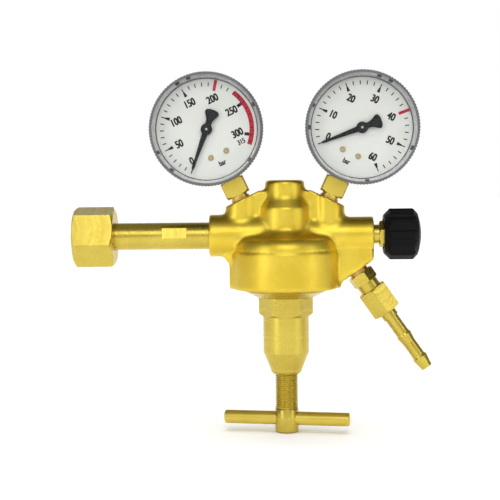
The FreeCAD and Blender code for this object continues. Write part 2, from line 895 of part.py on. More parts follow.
def make_diaphragm():
    """The dished diaphragm, its clamping ring and the spring plate under it."""
    centre = (size.inlet_reach, 0, 0)
    top = -size.diaphragm_ledge
    thick = size.diaphragm_thick
    flat = top - size.diaphragm_dish
    disc = turned("disc", [
        (0, flat - thick),
        (size.diaphragm_flat_radius, flat - thick),
        (size.diaphragm_rim_in, top - thick),
        (size.diaphragm_radius, top - thick),
        (size.diaphragm_radius, top),
        (size.diaphragm_rim_in, top),
        (size.diaphragm_flat_radius, flat),
        (0, flat),
    ])
    node("diaphragm", place(disc, centre))

    ring_top = top - thick
    ring_low = ring_top - size.slip_ring_thick
    ring = turned("ring", [
        (size.low_chamber_radius, ring_low),
        (size.diaphragm_radius, ring_low),
        (size.diaphragm_radius, ring_top),
        (size.low_chamber_radius, ring_top),
    ])
    node("slip_ring", place(ring, centre))

    plate_top = flat - thick
    plate_low = plate_top - size.plate_thick
    spring_plate = turned("spring_plate", [
        (0, plate_low - size.plate_spigot_long),
        (size.plate_spigot_radius - size.plate_spigot_edge, plate_low - size.plate_spigot_long),
        (size.plate_spigot_radius, plate_low - size.plate_spigot_long + size.plate_spigot_edge),
        (size.plate_spigot_radius, plate_low),
        (size.plate_radius, plate_low),
        (size.plate_radius, plate_top),
        (0, plate_top),
    ])
    node("diaphragm_plate", place(spring_plate, centre))
    return flat, plate_low


def make_capsule(pin_end):
    """The valve capsule with its seat, seal, poppet and spring."""
    centre = (size.inlet_reach, 0, 0)
    outer = size.capsule_chamber_radius - size.running_play / 3
    low = -size.low_chamber_top
    high = size.capsule_chamber_top - size.running_play
    roof = high - size.capsule_roof
    groove = outer - size.capsule_groove_depth
    half = size.capsule_groove_half
    wire = size.seal_wire_radius
    seal_in = size.capsule_chamber_radius - wire * 2 - size.thread_play * 2
    groove_floor = -size.seal_drop - wire - size.seal_side_play
    groove_roof = -size.seal_drop + wire + size.seal_side_play
    blank = turned("capsule", [
        (size.capsule_bore_radius, low),
        (outer, low),
        (outer, groove_floor),
        (seal_in, groove_floor),
        (seal_in, groove_roof),
        (outer, groove_roof),
        (outer, -half),
        (groove, -half),
        (groove, half),
        (outer, half),
        (outer, high),
        (0, high),
        (0, roof),
        (size.capsule_bore_radius, roof),
    ])
    ports = [rod("capsule_port_" + name, size.capsule_port_radius, outer * 2,
                 (-outer if rotation is ALONG_X else 0, -outer if rotation is Z_TO_BACK else 0, 0),
                 rotation)
             for name, rotation in (("across", ALONG_X), ("back", Z_TO_BACK))]
    node("valve_capsule", place(cut("ported_capsule", blank, *ports), centre))

    seal = doc.addObject("Part::Torus", "seal")
    bind(seal, Radius1=size.capsule_chamber_radius - wire - size.thread_play, Radius2=wire)
    node("capsule_seal", place(seal, (size.inlet_reach, 0, -size.seal_drop)))

    seat_top = -size.insert_top
    insert = turned("insert", [
        (size.insert_hole_radius, seat_top - size.insert_long),
        (size.capsule_bore_radius, seat_top - size.insert_long),
        (size.capsule_bore_radius, seat_top - size.edge),
        (size.insert_hole_radius + size.insert_nose_low, seat_top - size.edge),
        (size.insert_hole_radius + size.insert_nose_top, seat_top),
        (size.insert_hole_radius, seat_top),
    ])
    node("valve_insert", place(insert, centre))

    head_low = seat_top + size.seat_play
    head_high = head_low + size.poppet_head_long
    guide_end = head_high + size.poppet_guide_long
    poppet = turned("poppet_turning", [
        (0, pin_end + size.seat_play),
        (size.poppet_pin_radius, pin_end + size.seat_play),
        (size.poppet_pin_radius, head_low),
        (size.poppet_head_radius, head_low),
        (size.poppet_head_radius, head_high),
        (size.poppet_guide_radius, head_high),
        (size.poppet_guide_radius, guide_end - size.small_edge),
        (size.poppet_guide_radius - size.small_edge, guide_end),
        (0, guide_end),
    ])
    node("poppet", place(poppet, centre))

    spring = coil("poppet_coil", size.poppet_spring_radius, size.poppet_wire_radius,
                  head_high, roof, size.poppet_spring_turns)
    node("poppet_spring", place(spring, centre))


def coil(label, radius, wire, low, high, turns):
    """A round wire spring that stands between two seats."""
    helix = doc.addObject("Part::Helix", label + "_path")
    rise = as_size(high) - low - wire * 2
    bind(helix, Pitch=rise / turns, Height=rise, Radius=radius)
    place(helix, (0, 0, as_size(low) + wire))
    section = doc.addObject("Part::RegularPolygon", label + "_section")
    section.Polygon = 8
    bind(section, Circumradius=wire)
    place(section, (radius, 0, as_size(low) + wire), Z_TO_FRONT)
    sweep = doc.addObject("Part::Sweep", label)
    sweep.Sections = [section]
    sweep.Spine = (helix, [])
    sweep.Solid = True
    sweep.Frenet = True
    return sweep


# Bonnet, main spring and adjusting screw, about the main axis

def bonnet_profile():
    """The section of the bonnet, outside first and then its bore."""
    thread = size.bonnet_thread_radius - size.thread_play
    hole = size.screw_radius + size.running_play / 2
    top = -size.diaphragm_ledge - size.diaphragm_thick - size.slip_ring_thick
    relief = -size.bell_depth + size.bonnet_relief
    thread_high = -size.bonnet_thread_top - size.seal_side_play
    flange_inner = size.bonnet_flange_radius - size.bonnet_flange_step
    corner = size.bonnet_across / ROOT_THREE
    hex_low = -size.bonnet_hex_drop - size.bonnet_hex_long
    return [
        (hole, -size.bonnet_drop),
        (size.bonnet_nose_radius - size.bonnet_nose_edge, -size.bonnet_drop, -size.bonnet_nose_round),
        (size.bonnet_nose_radius, -size.bonnet_nose_drop),
        (size.bonnet_barrel_radius, -size.bonnet_barrel_drop),
        (size.bonnet_barrel_radius, hex_low),
        (size.bonnet_across / 2, hex_low),
        (corner, hex_low + size.bonnet_hex_bevel),
        (corner, -size.bonnet_hex_drop),
        (size.bonnet_neck_radius, -size.bonnet_hex_drop),
        (size.bonnet_neck_radius, -size.bonnet_neck_drop),
        (size.bonnet_flange_radius, -size.bonnet_flange_drop),
        (flange_inner, -size.bonnet_flange_drop),
        (flange_inner, relief),
        (thread, relief),
        (thread, thread_high),
        (size.diaphragm_radius, thread_high),
        (size.diaphragm_radius, top),
        (size.bonnet_mouth_radius, top),
        (size.bonnet_mouth_radius, -size.bonnet_mouth_drop),
        (size.spring_bore_radius, -size.bonnet_mouth_drop),
        (size.spring_bore_radius, -size.spring_bore_drop),
        (hole, -size.spring_bore_drop),
    ]


def make_bonnet():
    """The spring housing that screws into the bell."""
    blank = turned("bonnet_turning", bonnet_profile())
    hex_low = -size.bonnet_hex_drop - size.bonnet_hex_long
    bonnet = hexed("bonnet_hex", blank, size.bonnet_across, hex_low, size.bonnet_hex_long)
    node("bonnet", place(bonnet, (size.inlet_reach, 0, 0)))


def ball_pocket():
    """Radius and depth of the pockets that hold the thrust ball."""
    depth = size.ball_nest + size.seat_play / 2
    return size.ball_radius * size.ball_pocket_share, depth


def make_spring(plate_low):
    """The main spring, its lower seat and the ball under it."""
    centre = (size.inlet_reach, 0, 0)
    seat_top = -size.seat_drop
    seat_low = seat_top - size.seat_thick
    pocket, pocket_depth = ball_pocket()
    spring = coil("main_coil", size.main_spring_radius, size.main_wire_radius,
                  seat_top, plate_low, size.main_spring_turns)
    node("main_spring", place(spring, centre))

    seat = turned("seat", [
        (pocket, seat_low),
        (size.seat_radius - size.wide_edge, seat_low),
        (size.seat_radius, seat_low + size.wide_edge),
        (size.seat_radius, seat_top),
        (size.plate_spigot_radius, seat_top),
        (size.plate_spigot_radius, seat_top + size.plate_spigot_long - size.plate_spigot_edge),
        (size.plate_spigot_radius - size.plate_spigot_edge, seat_top + size.plate_spigot_long),
        (0, seat_top + size.plate_spigot_long),
        (0, seat_low + pocket_depth),
        (pocket, seat_low + pocket_depth),
    ])
    node("spring_seat", place(seat, centre))

    ball = doc.addObject("Part::Sphere", "ball")
    bind(ball, Radius=size.ball_radius)
    node("thrust_ball", place(ball, (size.inlet_reach, 0,
                                     seat_low - size.ball_radius + size.ball_nest)))
    return seat_low - (size.ball_radius - size.ball_nest) * 2


def make_screw(screw_top):
    """The adjusting screw with its tee bar staked through the head."""
    centre = (size.inlet_reach, 0, 0)
    pocket, pocket_depth = ball_pocket()
    head_low = -size.screw_head_drop
    blank = turned("screw", [
        (0, head_low),
        (size.screw_head_radius - size.edge, head_low),
        (size.screw_head_radius, head_low + size.edge),
        (size.screw_head_radius, -size.screw_drop - size.edge),
        (size.screw_head_radius - size.edge, -size.screw_drop),
        (size.screw_radius, -size.screw_drop),
        (size.screw_radius, screw_top - size.wide_edge),
        (size.screw_radius - size.wide_edge, screw_top),
        (pocket, screw_top),
        (pocket, screw_top - pocket_depth),
        (0, screw_top - pocket_depth),
    ])
    turn = size.tee_bar_angle
    reach = size.screw_head_radius + size.over_cut
    across = Rotation(UP, -turn.value).multiply(ALONG_X)
    hole = rod("tee_hole", size.tee_bar_radius, reach * 2,
               (-reach * cosine(turn), reach * sine(turn), -size.tee_bar_drop), across)
    node("adjusting_screw", place(cut("drilled_screw", blank, hole), centre))

    half = size.tee_bar_long / 2
    edge = size.tee_bar_edge
    bar = turned("bar", [
        (0, -half),
        (size.tee_bar_radius - edge, -half, -edge),
        (size.tee_bar_radius, -half + edge),
        (size.tee_bar_radius, half - edge, -edge),
        (size.tee_bar_radius - edge, half),
        (0, half),
    ])
    node("tee_bar", place(bar, (size.inlet_reach, 0, -size.tee_bar_drop), across))


# Outlet valve, along +X from the main axis

def make_gland():
    """The gland nut with its packing and the stem's ring seal."""
    centre = (size.inlet_reach, 0, 0)
    bore = size.stem_radius + size.seat_play
    thread = size.valve_chamber_radius - size.thread_play
    boss_end = size.valve_boss_reach
    start = boss_end - size.gland_thread_long
    hex_start = boss_end + size.gland_neck_long
    hex_end = hex_start + size.gland_hex_long
    corner = size.gland_across / ROOT_THREE
    face = size.gland_across / 2
    bevel = (corner - face) * size.hex_bevel_share
    wire = size.stem_seal_radius
    groove = size.stem_radius + size.thread_play * 2 + wire * 2
    groove_half = wire + size.seal_side_play
    blank = turned("gland", [
        (bore, start),
        (thread, start),
        (thread, boss_end),
        (size.gland_neck_radius, boss_end),
        (size.gland_neck_radius, hex_start),
        (face, hex_start),
        (corner, hex_start + bevel),
        (corner, hex_end - bevel),
        (face, hex_end),
        (bore, hex_end),
        (bore, size.stem_seal_out + groove_half),
        (groove, size.stem_seal_out + groove_half),
        (groove, size.stem_seal_out - groove_half),
        (bore, size.stem_seal_out - groove_half),
    ])
    gland = hexed("gland_hex", blank, size.gland_across, hex_start, size.gland_hex_long,
                  size.gland_hex_angle.value)
    node("valve_gland", place(gland, centre, ALONG_X))

    packing = turned("packing", [
        (bore, start - size.gland_seal_long),
        (thread, start - size.gland_seal_long),
        (thread, start),
        (bore, start),
    ])
    node("gland_seal", place(packing, centre, ALONG_X))

    ring = doc.addObject("Part::Torus", "stem_ring")
    bind(ring, Radius1=size.stem_radius + size.thread_play + wire, Radius2=wire)
    node("stem_seal", place(ring, (size.inlet_reach + size.stem_seal_out, 0, 0), ALONG_X))


def make_stem():
    """The valve disc with its soft seat, and the stem that lifts it."""
    centre = (size.inlet_reach, 0, 0)
    seal_start = size.valve_seat_out + size.seat_play
    seal_end = seal_start + size.disc_seal_thick
    disc_end = seal_end + size.disc_thick
    seal = turned("disc_seal_ring", [
        (0, seal_start),
        (size.disc_seal_radius, seal_start),
        (size.disc_seal_radius, seal_end),
        (0, seal_end),
    ])
    node("disc_seal", place(seal, centre, ALONG_X))

    pocket = size.stem_nose_radius + size.seat_play
    disc = turned("disc_turning", [
        (0, seal_end),
        (size.disc_radius - size.small_edge, seal_end),
        (size.disc_radius, seal_end + size.small_edge),
        (size.disc_radius, disc_end),
        (pocket, disc_end),
        (pocket, disc_end - size.stem_nose_long),
        (0, disc_end - size.stem_nose_long),
    ])
    node("valve_disc", place(disc, centre, ALONG_X))

    nose = disc_end - size.stem_nose_long + size.seat_play
    shoulder = disc_end + size.seat_play
    stem_end = size.knob_start + size.knob_recess_long + size.knob_insert_long
    stem = turned("stem", [
        (0, nose),
        (size.stem_nose_radius, nose),
        (size.stem_nose_radius, shoulder),
        (size.stem_radius, shoulder),
        (size.stem_radius, stem_end - size.small_edge),
        (size.stem_radius - size.small_edge, stem_end),
        (0, stem_end),
    ])
    node("valve_stem", place(stem, centre, ALONG_X))


def make_knob():
    """The fluted hand knob and the brass insert moulded into it."""
    centre = (size.inlet_reach, 0, 0)
    start = size.knob_start
    end = size.knob_end
    recess_end = start + size.knob_recess_long
    insert_end = recess_end + size.knob_insert_long
    bevel = size.knob_inner_bevel
    dome_radius = size.knob_radius - size.knob_outer_bevel
    dome_round = (dome_radius * dome_radius / size.knob_dome + size.knob_dome) / 2
    blank = turned("knob", [
        (size.knob_recess_radius, start),
        (size.knob_radius - bevel, start),
        (size.knob_radius, start + bevel),
        (size.knob_radius, end - size.knob_dome - size.knob_outer_bevel),
        (dome_radius, end - size.knob_dome, -dome_round),
        (0, end),
        (0, insert_end),
        (size.knob_insert_radius, insert_end),
        (size.knob_insert_radius, recess_end),
        (size.knob_recess_radius, recess_end),
    ])
    orbit = size.knob_radius + size.knob_flute_radius - size.knob_flute_depth
    count = int(size.knob_flutes.value)
    flutes = []
    for index in range(count):
        angle = 360.0 / count * (index + 0.5)
        flutes.append(rod("knob_flute_%d" % index, size.knob_flute_radius,
                          end - start + size.over_cut * 2,
                          (orbit * cosine(angle), orbit * sine(angle), start - size.over_cut)))
    node("hand_knob", place(cut("fluted_knob", blank, *flutes), centre, ALONG_X))

    insert = turned("knob_bush", [
        (size.stem_radius, recess_end),
        (size.knob_insert_radius, recess_end),
        (size.knob_insert_radius, insert_end),
        (size.stem_radius, insert_end),
    ])
    node("knob_insert", place(insert, centre, ALONG_X))


# Outlet union, along the outlet's own axis

def make_adapter():
    """The outlet nipple and the washer under it."""
    seal_high = size.adapter_seal_thick
    hex_end = seal_high + size.adapter_hex_long
    corner = size.adapter_across / ROOT_THREE
    face = size.adapter_across / 2
    bevel = (corner - face) * size.hex_bevel_share
    low = -size.outlet_thread_long
    end = size.adapter_end
    bore = size.adapter_bore_radius
    blank = turned("adapter", [
        (bore, low),
        (size.outlet_thread_radius - size.edge, low),
        (size.outlet_thread_radius, low + size.edge),
        (size.outlet_thread_radius, seal_high),
        (face, seal_high),
        (corner, seal_high + bevel),
        (corner, hex_end - bevel),
        (face, hex_end),
        (size.adapter_neck_radius, hex_end),
        (size.adapter_neck_radius, end - size.edge),
        (size.adapter_neck_radius - size.edge, end),
        (bore + size.adapter_seat_wide, end),
        (bore, end - size.adapter_seat_wide),
    ])
    adapter = hexed("adapter_hex", blank, size.adapter_across, seal_high,
                    size.adapter_hex_long, size.adapter_hex_angle.value)
    node("outlet_adapter", place(adapter, outlet_point(), outlet_axis()))

    washer = turned("adapter_washer", [
        (size.outlet_thread_radius + size.thread_play, 0),
        (size.adapter_seal_radius, 0),
        (size.adapter_seal_radius, seal_high),
        (size.outlet_thread_radius + size.thread_play, seal_high),
    ])
    node("adapter_seal", place(washer, outlet_point(), outlet_axis()))


def make_tail():
    """The hose tail and the union nut that clamps it."""
    start = size.outlet_nut_start
    end = size.outlet_nut_end
    corner = size.outlet_nut_across / ROOT_THREE
    face = size.outlet_nut_across / 2
    bevel = (corner - face) * size.hex_bevel_share
    bore = size.adapter_neck_radius + size.running_play / 2
    shoulder = end - size.outlet_nut_shoulder
    hole = size.tail_collar_radius + size.running_play
    blank = turned("union_nut", [
        (bore, start),
        (face, start),
        (corner, start + bevel),
        (corner, end - bevel),
        (face, end),
        (hole, end),
        (hole, shoulder),
        (bore, shoulder),
    ])
    nut = hexed("union_nut_hex", blank, size.outlet_nut_across, start, end - start,
                size.outlet_nut_angle.value)
    node("outlet_nut", place(nut, outlet_point(), outlet_axis()))

    seat = size.adapter_end
    head_start = seat + size.seat_play
    head_end = shoulder - size.running_play
    bore = size.tail_bore_radius
    nose = size.adapter_bore_radius + size.tail_nose_step
    nose_start = seat - size.tail_nose_long
    head = size.adapter_neck_radius - size.running_play
    step = size.tail_barb_step
    tail = turned("tail", [
        (bore, nose_start),
        (nose, nose_start),
        (nose + size.tail_nose_cone, head_start),
        (head, head_start),
        (head, head_end),
        (size.tail_collar_radius, head_end),
        (size.tail_collar_radius, size.tail_collar_end),
        (size.tail_radius, size.tail_collar_end),
        (size.tail_radius, size.tail_first_barb - step),
        (size.tail_barb_radius, size.tail_first_barb),
        (size.tail_waist_radius, size.tail_first_barb + size.tail_barb_slope),
        (size.tail_waist_radius, size.tail_second_barb - step),
        (size.tail_barb_radius, size.tail_second_barb),
        (size.tail_tip_radius, size.tail_end),
        (bore, size.tail_end),
    ])
    node("hose_tail", place(tail, outlet_point(), outlet_axis()))


# Gauges. Each piece is made in the dial's frame: +X right, +Y up, +Z forward

def gear_profile(teeth, tip, root, first, last, turn):
    """Corners of involute teeth first to last, the teeth centred on turn plus steps."""
    module = size.gear_module.value
    pitch = module * teeth / 2
    pressure = math.radians(size.gear_pressure.value)
    base = pitch * math.cos(pressure)
    half = math.pi / (2 * teeth) - size.gear_backlash.value / (2 * pitch)
    flank_steps = 2
    lowest = max(base, root)
    radii = [root] if root < base else []
    for step in range(flank_steps + 1):
        radii.append(lowest + (tip - lowest) * step / flank_steps)

    def half_angle(radius):
        """Half the tooth's angle at a radius; flanks are radial below the base circle."""
        lean = math.acos(min(1.0, base / radius))
        return half + (math.tan(pressure) - pressure) - (math.tan(lean) - lean)

    corners = []
    for index in range(first, last + 1):
        centre = math.radians(turn) + index * 2 * math.pi / teeth
        rising = [(radius, centre - half_angle(radius)) for radius in radii]
        falling = [(radius, centre + half_angle(radius)) for radius in reversed(radii)]
        for radius, angle in rising + falling:
            corners.append(Vector(radius * math.cos(angle), radius * math.sin(angle), 0))
    return corners


def toothed(label, corners, thick, base, rotation=Rotation()):
    """A toothed plate: its corners joined by straight edges and given a thickness."""
    wire = Part.makePolygon(corners + [corners[0]])
    piece = doc.addObject("Part::Feature", label)
    piece.Shape = Part.Face(wire).extrude(Vector(0, 0, number(thick)))
    return place(piece, base, rotation)


def sector_pivot():
    """The sector's arbor, one centre distance from the pinion's."""
    distance = size.gear_module * (size.pinion_teeth + size.sector_teeth) / 2
    return distance * cosine(size.sector_pivot_angle), -(distance * sine(size.sector_pivot_angle))


def dial_post(side):
    """Where a dial screw stands: side is 1 right, -1 left."""
    return (size.dial_screw_radius * sine(size.dial_screw_angle) * side,
            -(size.dial_screw_radius * cosine(size.dial_screw_angle)))


class Gauge:
    """One gauge: its pieces are made about the dial's centre, then set on its port."""

    def __init__(self, name, side):
        self.name = name
        self.rotation = gauge_axis(side).multiply(Z_TO_FRONT)
        self.centre = port_point(side, -size.gauge_rise)

    def title(self, piece):
        """The name of one of this gauge's pieces."""
        return "%s_gauge_%s" % (self.name, piece)

    def add(self, piece, obj):
        """Finishes a piece: sets it at the gauge's place and names it."""
        node(self.title(piece), place(obj, self.centre, self.rotation))

    def socket(self):
        """The brass stem that screws into the body and holds the movement."""
        face = -size.gauge_rise
        thread_end = face - size.gauge_thread_long
        block_high = size.gauge_block_low - size.gauge_block_top
        half = size.gauge_block / 2
        corner = half + size.gauge_block_corner
        shank = place(turned(self.title("shank"), [
            (0, thread_end),
            (size.gauge_thread_radius - size.edge, thread_end),
            (size.gauge_thread_radius, thread_end + size.edge),
            (size.gauge_thread_radius, face + size.gauge_washer_thick),
            (size.gauge_neck_radius, face + size.gauge_washer_thick),
            (size.gauge_neck_radius, -size.gauge_block_top),
            (size.gauge_stub_radius, -size.gauge_block_top),
            (size.gauge_stub_radius, -size.holder_low),
            (0, -size.holder_low),
        ]), (0, 0, 0), Z_TO_BACK)
        bar = block(self.title("bar"), (size.gauge_block, block_high, size.gauge_block),
                    (-half, -size.gauge_block_low, -half))
        turning = place(turned(self.title("turning"), [
            (0, -size.gauge_block_low),
            (half, -size.gauge_block_low),
            (corner, -size.gauge_block_low + size.gauge_block_bevel),
            (corner, -size.gauge_block_top - size.edge),
            (corner - size.edge, -size.gauge_block_top),
            (0, -size.gauge_block_top),
        ]), (0, 0, 0), Z_TO_BACK)
        square = common(self.title("square"), bar, turning)
        holder = block(self.title("holder"),
                       (size.holder_half * 2, size.holder_low - size.holder_top,
                        size.holder_front + size.holder_back),
                       (-size.holder_half, -size.holder_low, -size.holder_back))
        solid = fuse(self.title("socket_blank"), shank, square, holder)
        bore = rod(self.title("bore"), size.gauge_bore_radius, size.gauge_rise,
                   (0, thread_end - size.over_cut, 0), Z_TO_BACK)
        self.add("socket", cut(self.title("bored_socket"), solid, bore))

        washer = turned(self.title("ring"), [
            (size.gauge_thread_radius + size.thread_play, face),
            (size.gauge_washer_radius, face),
            (size.gauge_washer_radius, face + size.gauge_washer_thick),
            (size.gauge_thread_radius + size.thread_play, face + size.gauge_washer_thick),
        ])
        self.add("washer", grouped(self.title("set_ring"), place(washer, (0, 0, 0), Z_TO_BACK)))

    def housing(self):
        """The case with its hole for the socket, and the snap-on window."""
        wall = size.case_wall
        edge = size.case_edge
        shell = turned(self.title("shell"), [
            (0, -size.case_back),
            (size.case_radius - edge, -size.case_back, -edge),
            (size.case_radius, -size.case_back + edge),
            (size.case_radius, size.case_front),
            (size.case_radius - wall, size.case_front),
            (size.case_radius - wall, -size.case_back + edge, edge - wall),
            (size.case_radius - edge, -size.case_back + wall),
            (0, -size.case_back + wall),
        ])
        hole = rod(self.title("hole"), size.gauge_stub_radius + size.thread_play,
                   size.case_radius - size.holder_top,
                   (0, -size.case_radius - size.over_cut, 0), Z_TO_BACK)
        self.add("case", cut(self.title("holed_shell"), shell, hole))

        front = size.window_front
        inner = front - size.window_thick
        skirt = size.case_radius + size.seat_play
        window = turned(self.title("glass"), [
            (0, inner),
            (size.window_ledge_radius, inner),
            (size.window_ledge_radius, size.case_front + size.seat_play),
            (skirt, size.case_front + size.seat_play),
            (skirt, size.window_back),
            (size.window_radius, size.window_back),
            (size.window_radius, front - size.window_edge),
            (size.window_radius - size.window_edge, front),
            (0, front),
        ])
        self.add("window", window)

    def dial(self):
        """The dial plate and the two screws that hold it on the movement."""
        low = size.dial_front - size.dial_thick
        disc = rod(self.title("disc"), size.dial_radius, size.dial_thick, (0, 0, low))
        holes = [rod(self.title("dial_bore"), size.dial_hole_radius, size.dial_thick, (0, 0, low))]
        screws = []
        for name, side in (("left", -1), ("right", 1)):
            across, up = dial_post(side)
            holes.append(rod(self.title("dial_hole_" + name),
                             size.dial_screw_shank + size.thread_play,
                             size.dial_thick, (across, up, low)))
            head = size.dial_front + size.dial_screw_high
            screws.append(place(turned(self.title("screw_" + name), [
                (0, size.frame_front + size.seal_side_play),
                (size.dial_screw_shank, size.frame_front + size.seal_side_play),
                (size.dial_screw_shank, size.dial_front),
                (size.dial_screw_head, size.dial_front),
                (size.dial_screw_head, head - size.dial_screw_edge),
                (size.dial_screw_head - size.dial_screw_edge, head),
                (0, head),
            ]), (across, up, 0)))
        self.add("dial", cut(self.title("holed_disc"), disc, *holes))
        self.add("dial_screws", grouped(self.title("screw_pair"), *screws))

    def tube(self):
        """The flattened pressure tube, bent to an arc, and the lug on its free end."""
        half = size.tube_thick / 2
        middle = size.tube_radius
        nose = -(size.tube_thick * size.tube_nose_share)
        sweep = 360 - size.tube_start.value + size.tube_end.value
        tube = turned(self.title("spring_tube"), [
            (middle - half, -size.tube_back + half, nose),
            (middle + half, -size.tube_back + half),
            (middle + half, size.tube_front - half, nose),
            (middle - half, size.tube_front - half),
        ], sweep)
        place(tube, (0, 0, 0), Rotation(UP, -size.tube_end.value))
        self.add("bourdon_tube", grouped(self.title("bent_tube"), tube))

        wide = half + size.tip_wall
        start = size.tip_start
        plug = block(self.title("plug"),
                     (wide * 2, size.tip_plug_long, size.tube_back + size.tube_front),
                     (middle - wide, -size.tip_plug_long, -size.tube_back))
        riser = block(self.title("riser"),
                      (wide * 2, start - size.tip_plug_long, size.tube_back + size.tip_front),
                      (middle - wide, -start, -size.tube_back))
        lug = block(self.title("lug"), (wide * 2, start + size.tip_reach, size.tip_thick),
                    (middle - wide, -start, size.tip_front - size.tip_thick))
        slot_half = size.link_pin_radius + size.tip_slot_play
        slot = block(self.title("slot"),
                     (slot_half * 2, size.tip_slot_long, size.tip_thick * 3),
                     (middle - slot_half, -size.tip_slot_start,
                      size.tip_front - size.tip_thick * 2))
        lug_piece = cut(self.title("slotted_lug"),
                        fuse(self.title("lug_blank"), plug, riser, lug), slot)
        place(lug_piece, (0, 0, 0), Rotation(UP, -size.tube_end.value))
        self.add("tube_tip", grouped(self.title("tip"), lug_piece))

    def frame(self):
        """The two plates that carry the arbors, with pillars and dial posts."""
        thick = size.frame_plate
        back = size.frame_back
        front = size.frame_front - thick
        slant = size.frame_slant
        foot = size.frame_foot_half
        back_plate = place(plate(self.title("back_plate"), [
            (-foot, -size.frame_foot),
            (foot, -size.frame_foot),
            (foot, -size.frame_low),
            (size.frame_right, -size.frame_low + slant),
            (size.frame_right, size.frame_top - slant),
            (size.frame_right - slant, size.frame_top),
            (-foot, size.frame_top),
        ], thick), (0, 0, back))
        front_plate = place(plate(self.title("front_plate"), [
            (-size.frame_left, -size.frame_low),
            (size.frame_right - slant, -size.frame_low),
            (size.frame_right, -size.frame_low + slant),
            (size.frame_right, size.frame_top - slant),
            (size.frame_right - slant, size.frame_top),
            (-foot, size.frame_top),
            (-size.frame_left, -size.frame_low / 2),
        ], thick), (0, 0, front))
        solids = [back_plate, front_plate]
        for name, across, up in (("low", size.low_pillar_across, size.low_pillar_up),
                                 ("high", size.high_pillar_across, size.high_pillar_up)):
            solids.append(rod(self.title("pillar_" + name), size.pillar_radius,
                              front - back, (across, up, back)))
        pivot_across, pivot_up = sector_pivot()
        holes = [rod(self.title("pinion_bearing"), size.arbor_radius + size.seat_play,
                     size.frame_front + size.over_cut, (0, 0, 0)),
                 rod(self.title("sector_bearing"), size.arbor_radius + size.seat_play,
                     size.frame_front + size.over_cut, (pivot_across, pivot_up, 0))]
        post_high = size.dial_front - size.dial_thick - size.frame_front
        for name, side in (("left", -1), ("right", 1)):
            across, up = dial_post(side)
            solids.append(rod(self.title("post_" + name), size.dial_screw_head, post_high,
                              (across, up, size.frame_front)))
            holes.append(rod(self.title("post_hole_" + name),
                             size.dial_screw_shank + size.thread_play,
                             post_high, (across, up, size.frame_front + size.seat_play)))
        frame = cut(self.title("bored_frame"), fuse(self.title("frame_blank"), *solids), *holes)
        self.add("movement_frame", frame)

    def gears(self):
        """The toothed sector on its arbor, and the pinion that it turns."""
        module = size.gear_module
        pinion_pitch = module * size.pinion_teeth / 2
        sector_pitch = module * size.sector_teeth / 2
        root_depth = module * size.gear_root_share
        line = -size.sector_pivot_angle.value
        teeth = int(size.pinion_teeth.value)
        corners = gear_profile(teeth, number(pinion_pitch + module),
                               number(pinion_pitch - root_depth), 0, teeth - 1,
                               line + 180.0 / teeth)
        pinion = toothed(self.title("pinion"), corners, size.pinion_long, (0, 0, size.pinion_back))
        play = size.seat_play
        arbor_start = play * 2
        arbor_end = size.pointer_back + size.pointer_thick + size.small_edge
        arbor = rod(self.title("pinion_shaft"), size.arbor_radius, arbor_end - arbor_start,
                    (0, 0, arbor_start))
        self.add("pinion_arbor", fuse(self.title("pinion_set"), pinion, arbor))

        pivot_across, pivot_up = sector_pivot()
        pivot = (pivot_across, pivot_up, 0)
        step = 360.0 / size.sector_teeth.value
        count = int(size.sector_cut_teeth.value)
        first = 1 - (count - 1)
        corners = gear_profile(int(size.sector_teeth.value),
                               number(sector_pitch + size.sector_addendum),
                               number(sector_pitch - root_depth), first, 1, 180 + line)
        hub = size.sector_hub_radius.value
        spread = size.sector_hub_angle.value
        last_side = 180 + line + step * 1.5 + spread
        first_side = 180 + line + step * (first - 0.5) - spread
        for angle in (last_side, first_side):
            corners.append(Vector(hub * math.cos(math.radians(angle)),
                                  hub * math.sin(math.radians(angle)), 0))
        teeth_plate = toothed(self.title("sector_teeth"), corners, size.sector_plate,
                              (0, 0, size.sector_back))
        hub_low = size.frame_back + size.frame_plate + play
        hub_rod = rod(self.title("sector_hub"), size.sector_hub_radius,
                      size.frame_front - size.frame_plate - play - hub_low, (0, 0, hub_low))
        shaft = rod(self.title("sector_shaft"), size.arbor_radius,
                    size.frame_front - arbor_start, (0, 0, arbor_start))
        arm_half = size.link_half
        lean = size.tail_arm_angle
        arm = block(self.title("arm"), (size.tail_arm, arm_half * 2, size.sector_plate), (0, 0, 0))
        place(arm, (-(arm_half * sine(lean)), -(arm_half * cosine(lean)), size.sector_back),
              Rotation(UP, -lean.value))
        eye_across = size.tail_arm * cosine(lean)
        eye_up = -(size.tail_arm * sine(lean))
        eye = rod(self.title("arm_eye"), arm_half, size.sector_plate,
                  (eye_across, eye_up, size.sector_back))
        eye_hole = rod(self.title("arm_hole"), size.link_pin_radius + play,
                       size.sector_plate, (eye_across, eye_up, size.sector_back))
        sector = cut(self.title("sector_set"),
                     fuse(self.title("sector_blank"), teeth_plate, hub_rod, shaft, arm, eye),
                     eye_hole)
        place(sector, pivot)
        self.add("sector_gear", grouped(self.title("sector"), sector))

        self.link(pivot_across + eye_across, pivot_up + eye_up)

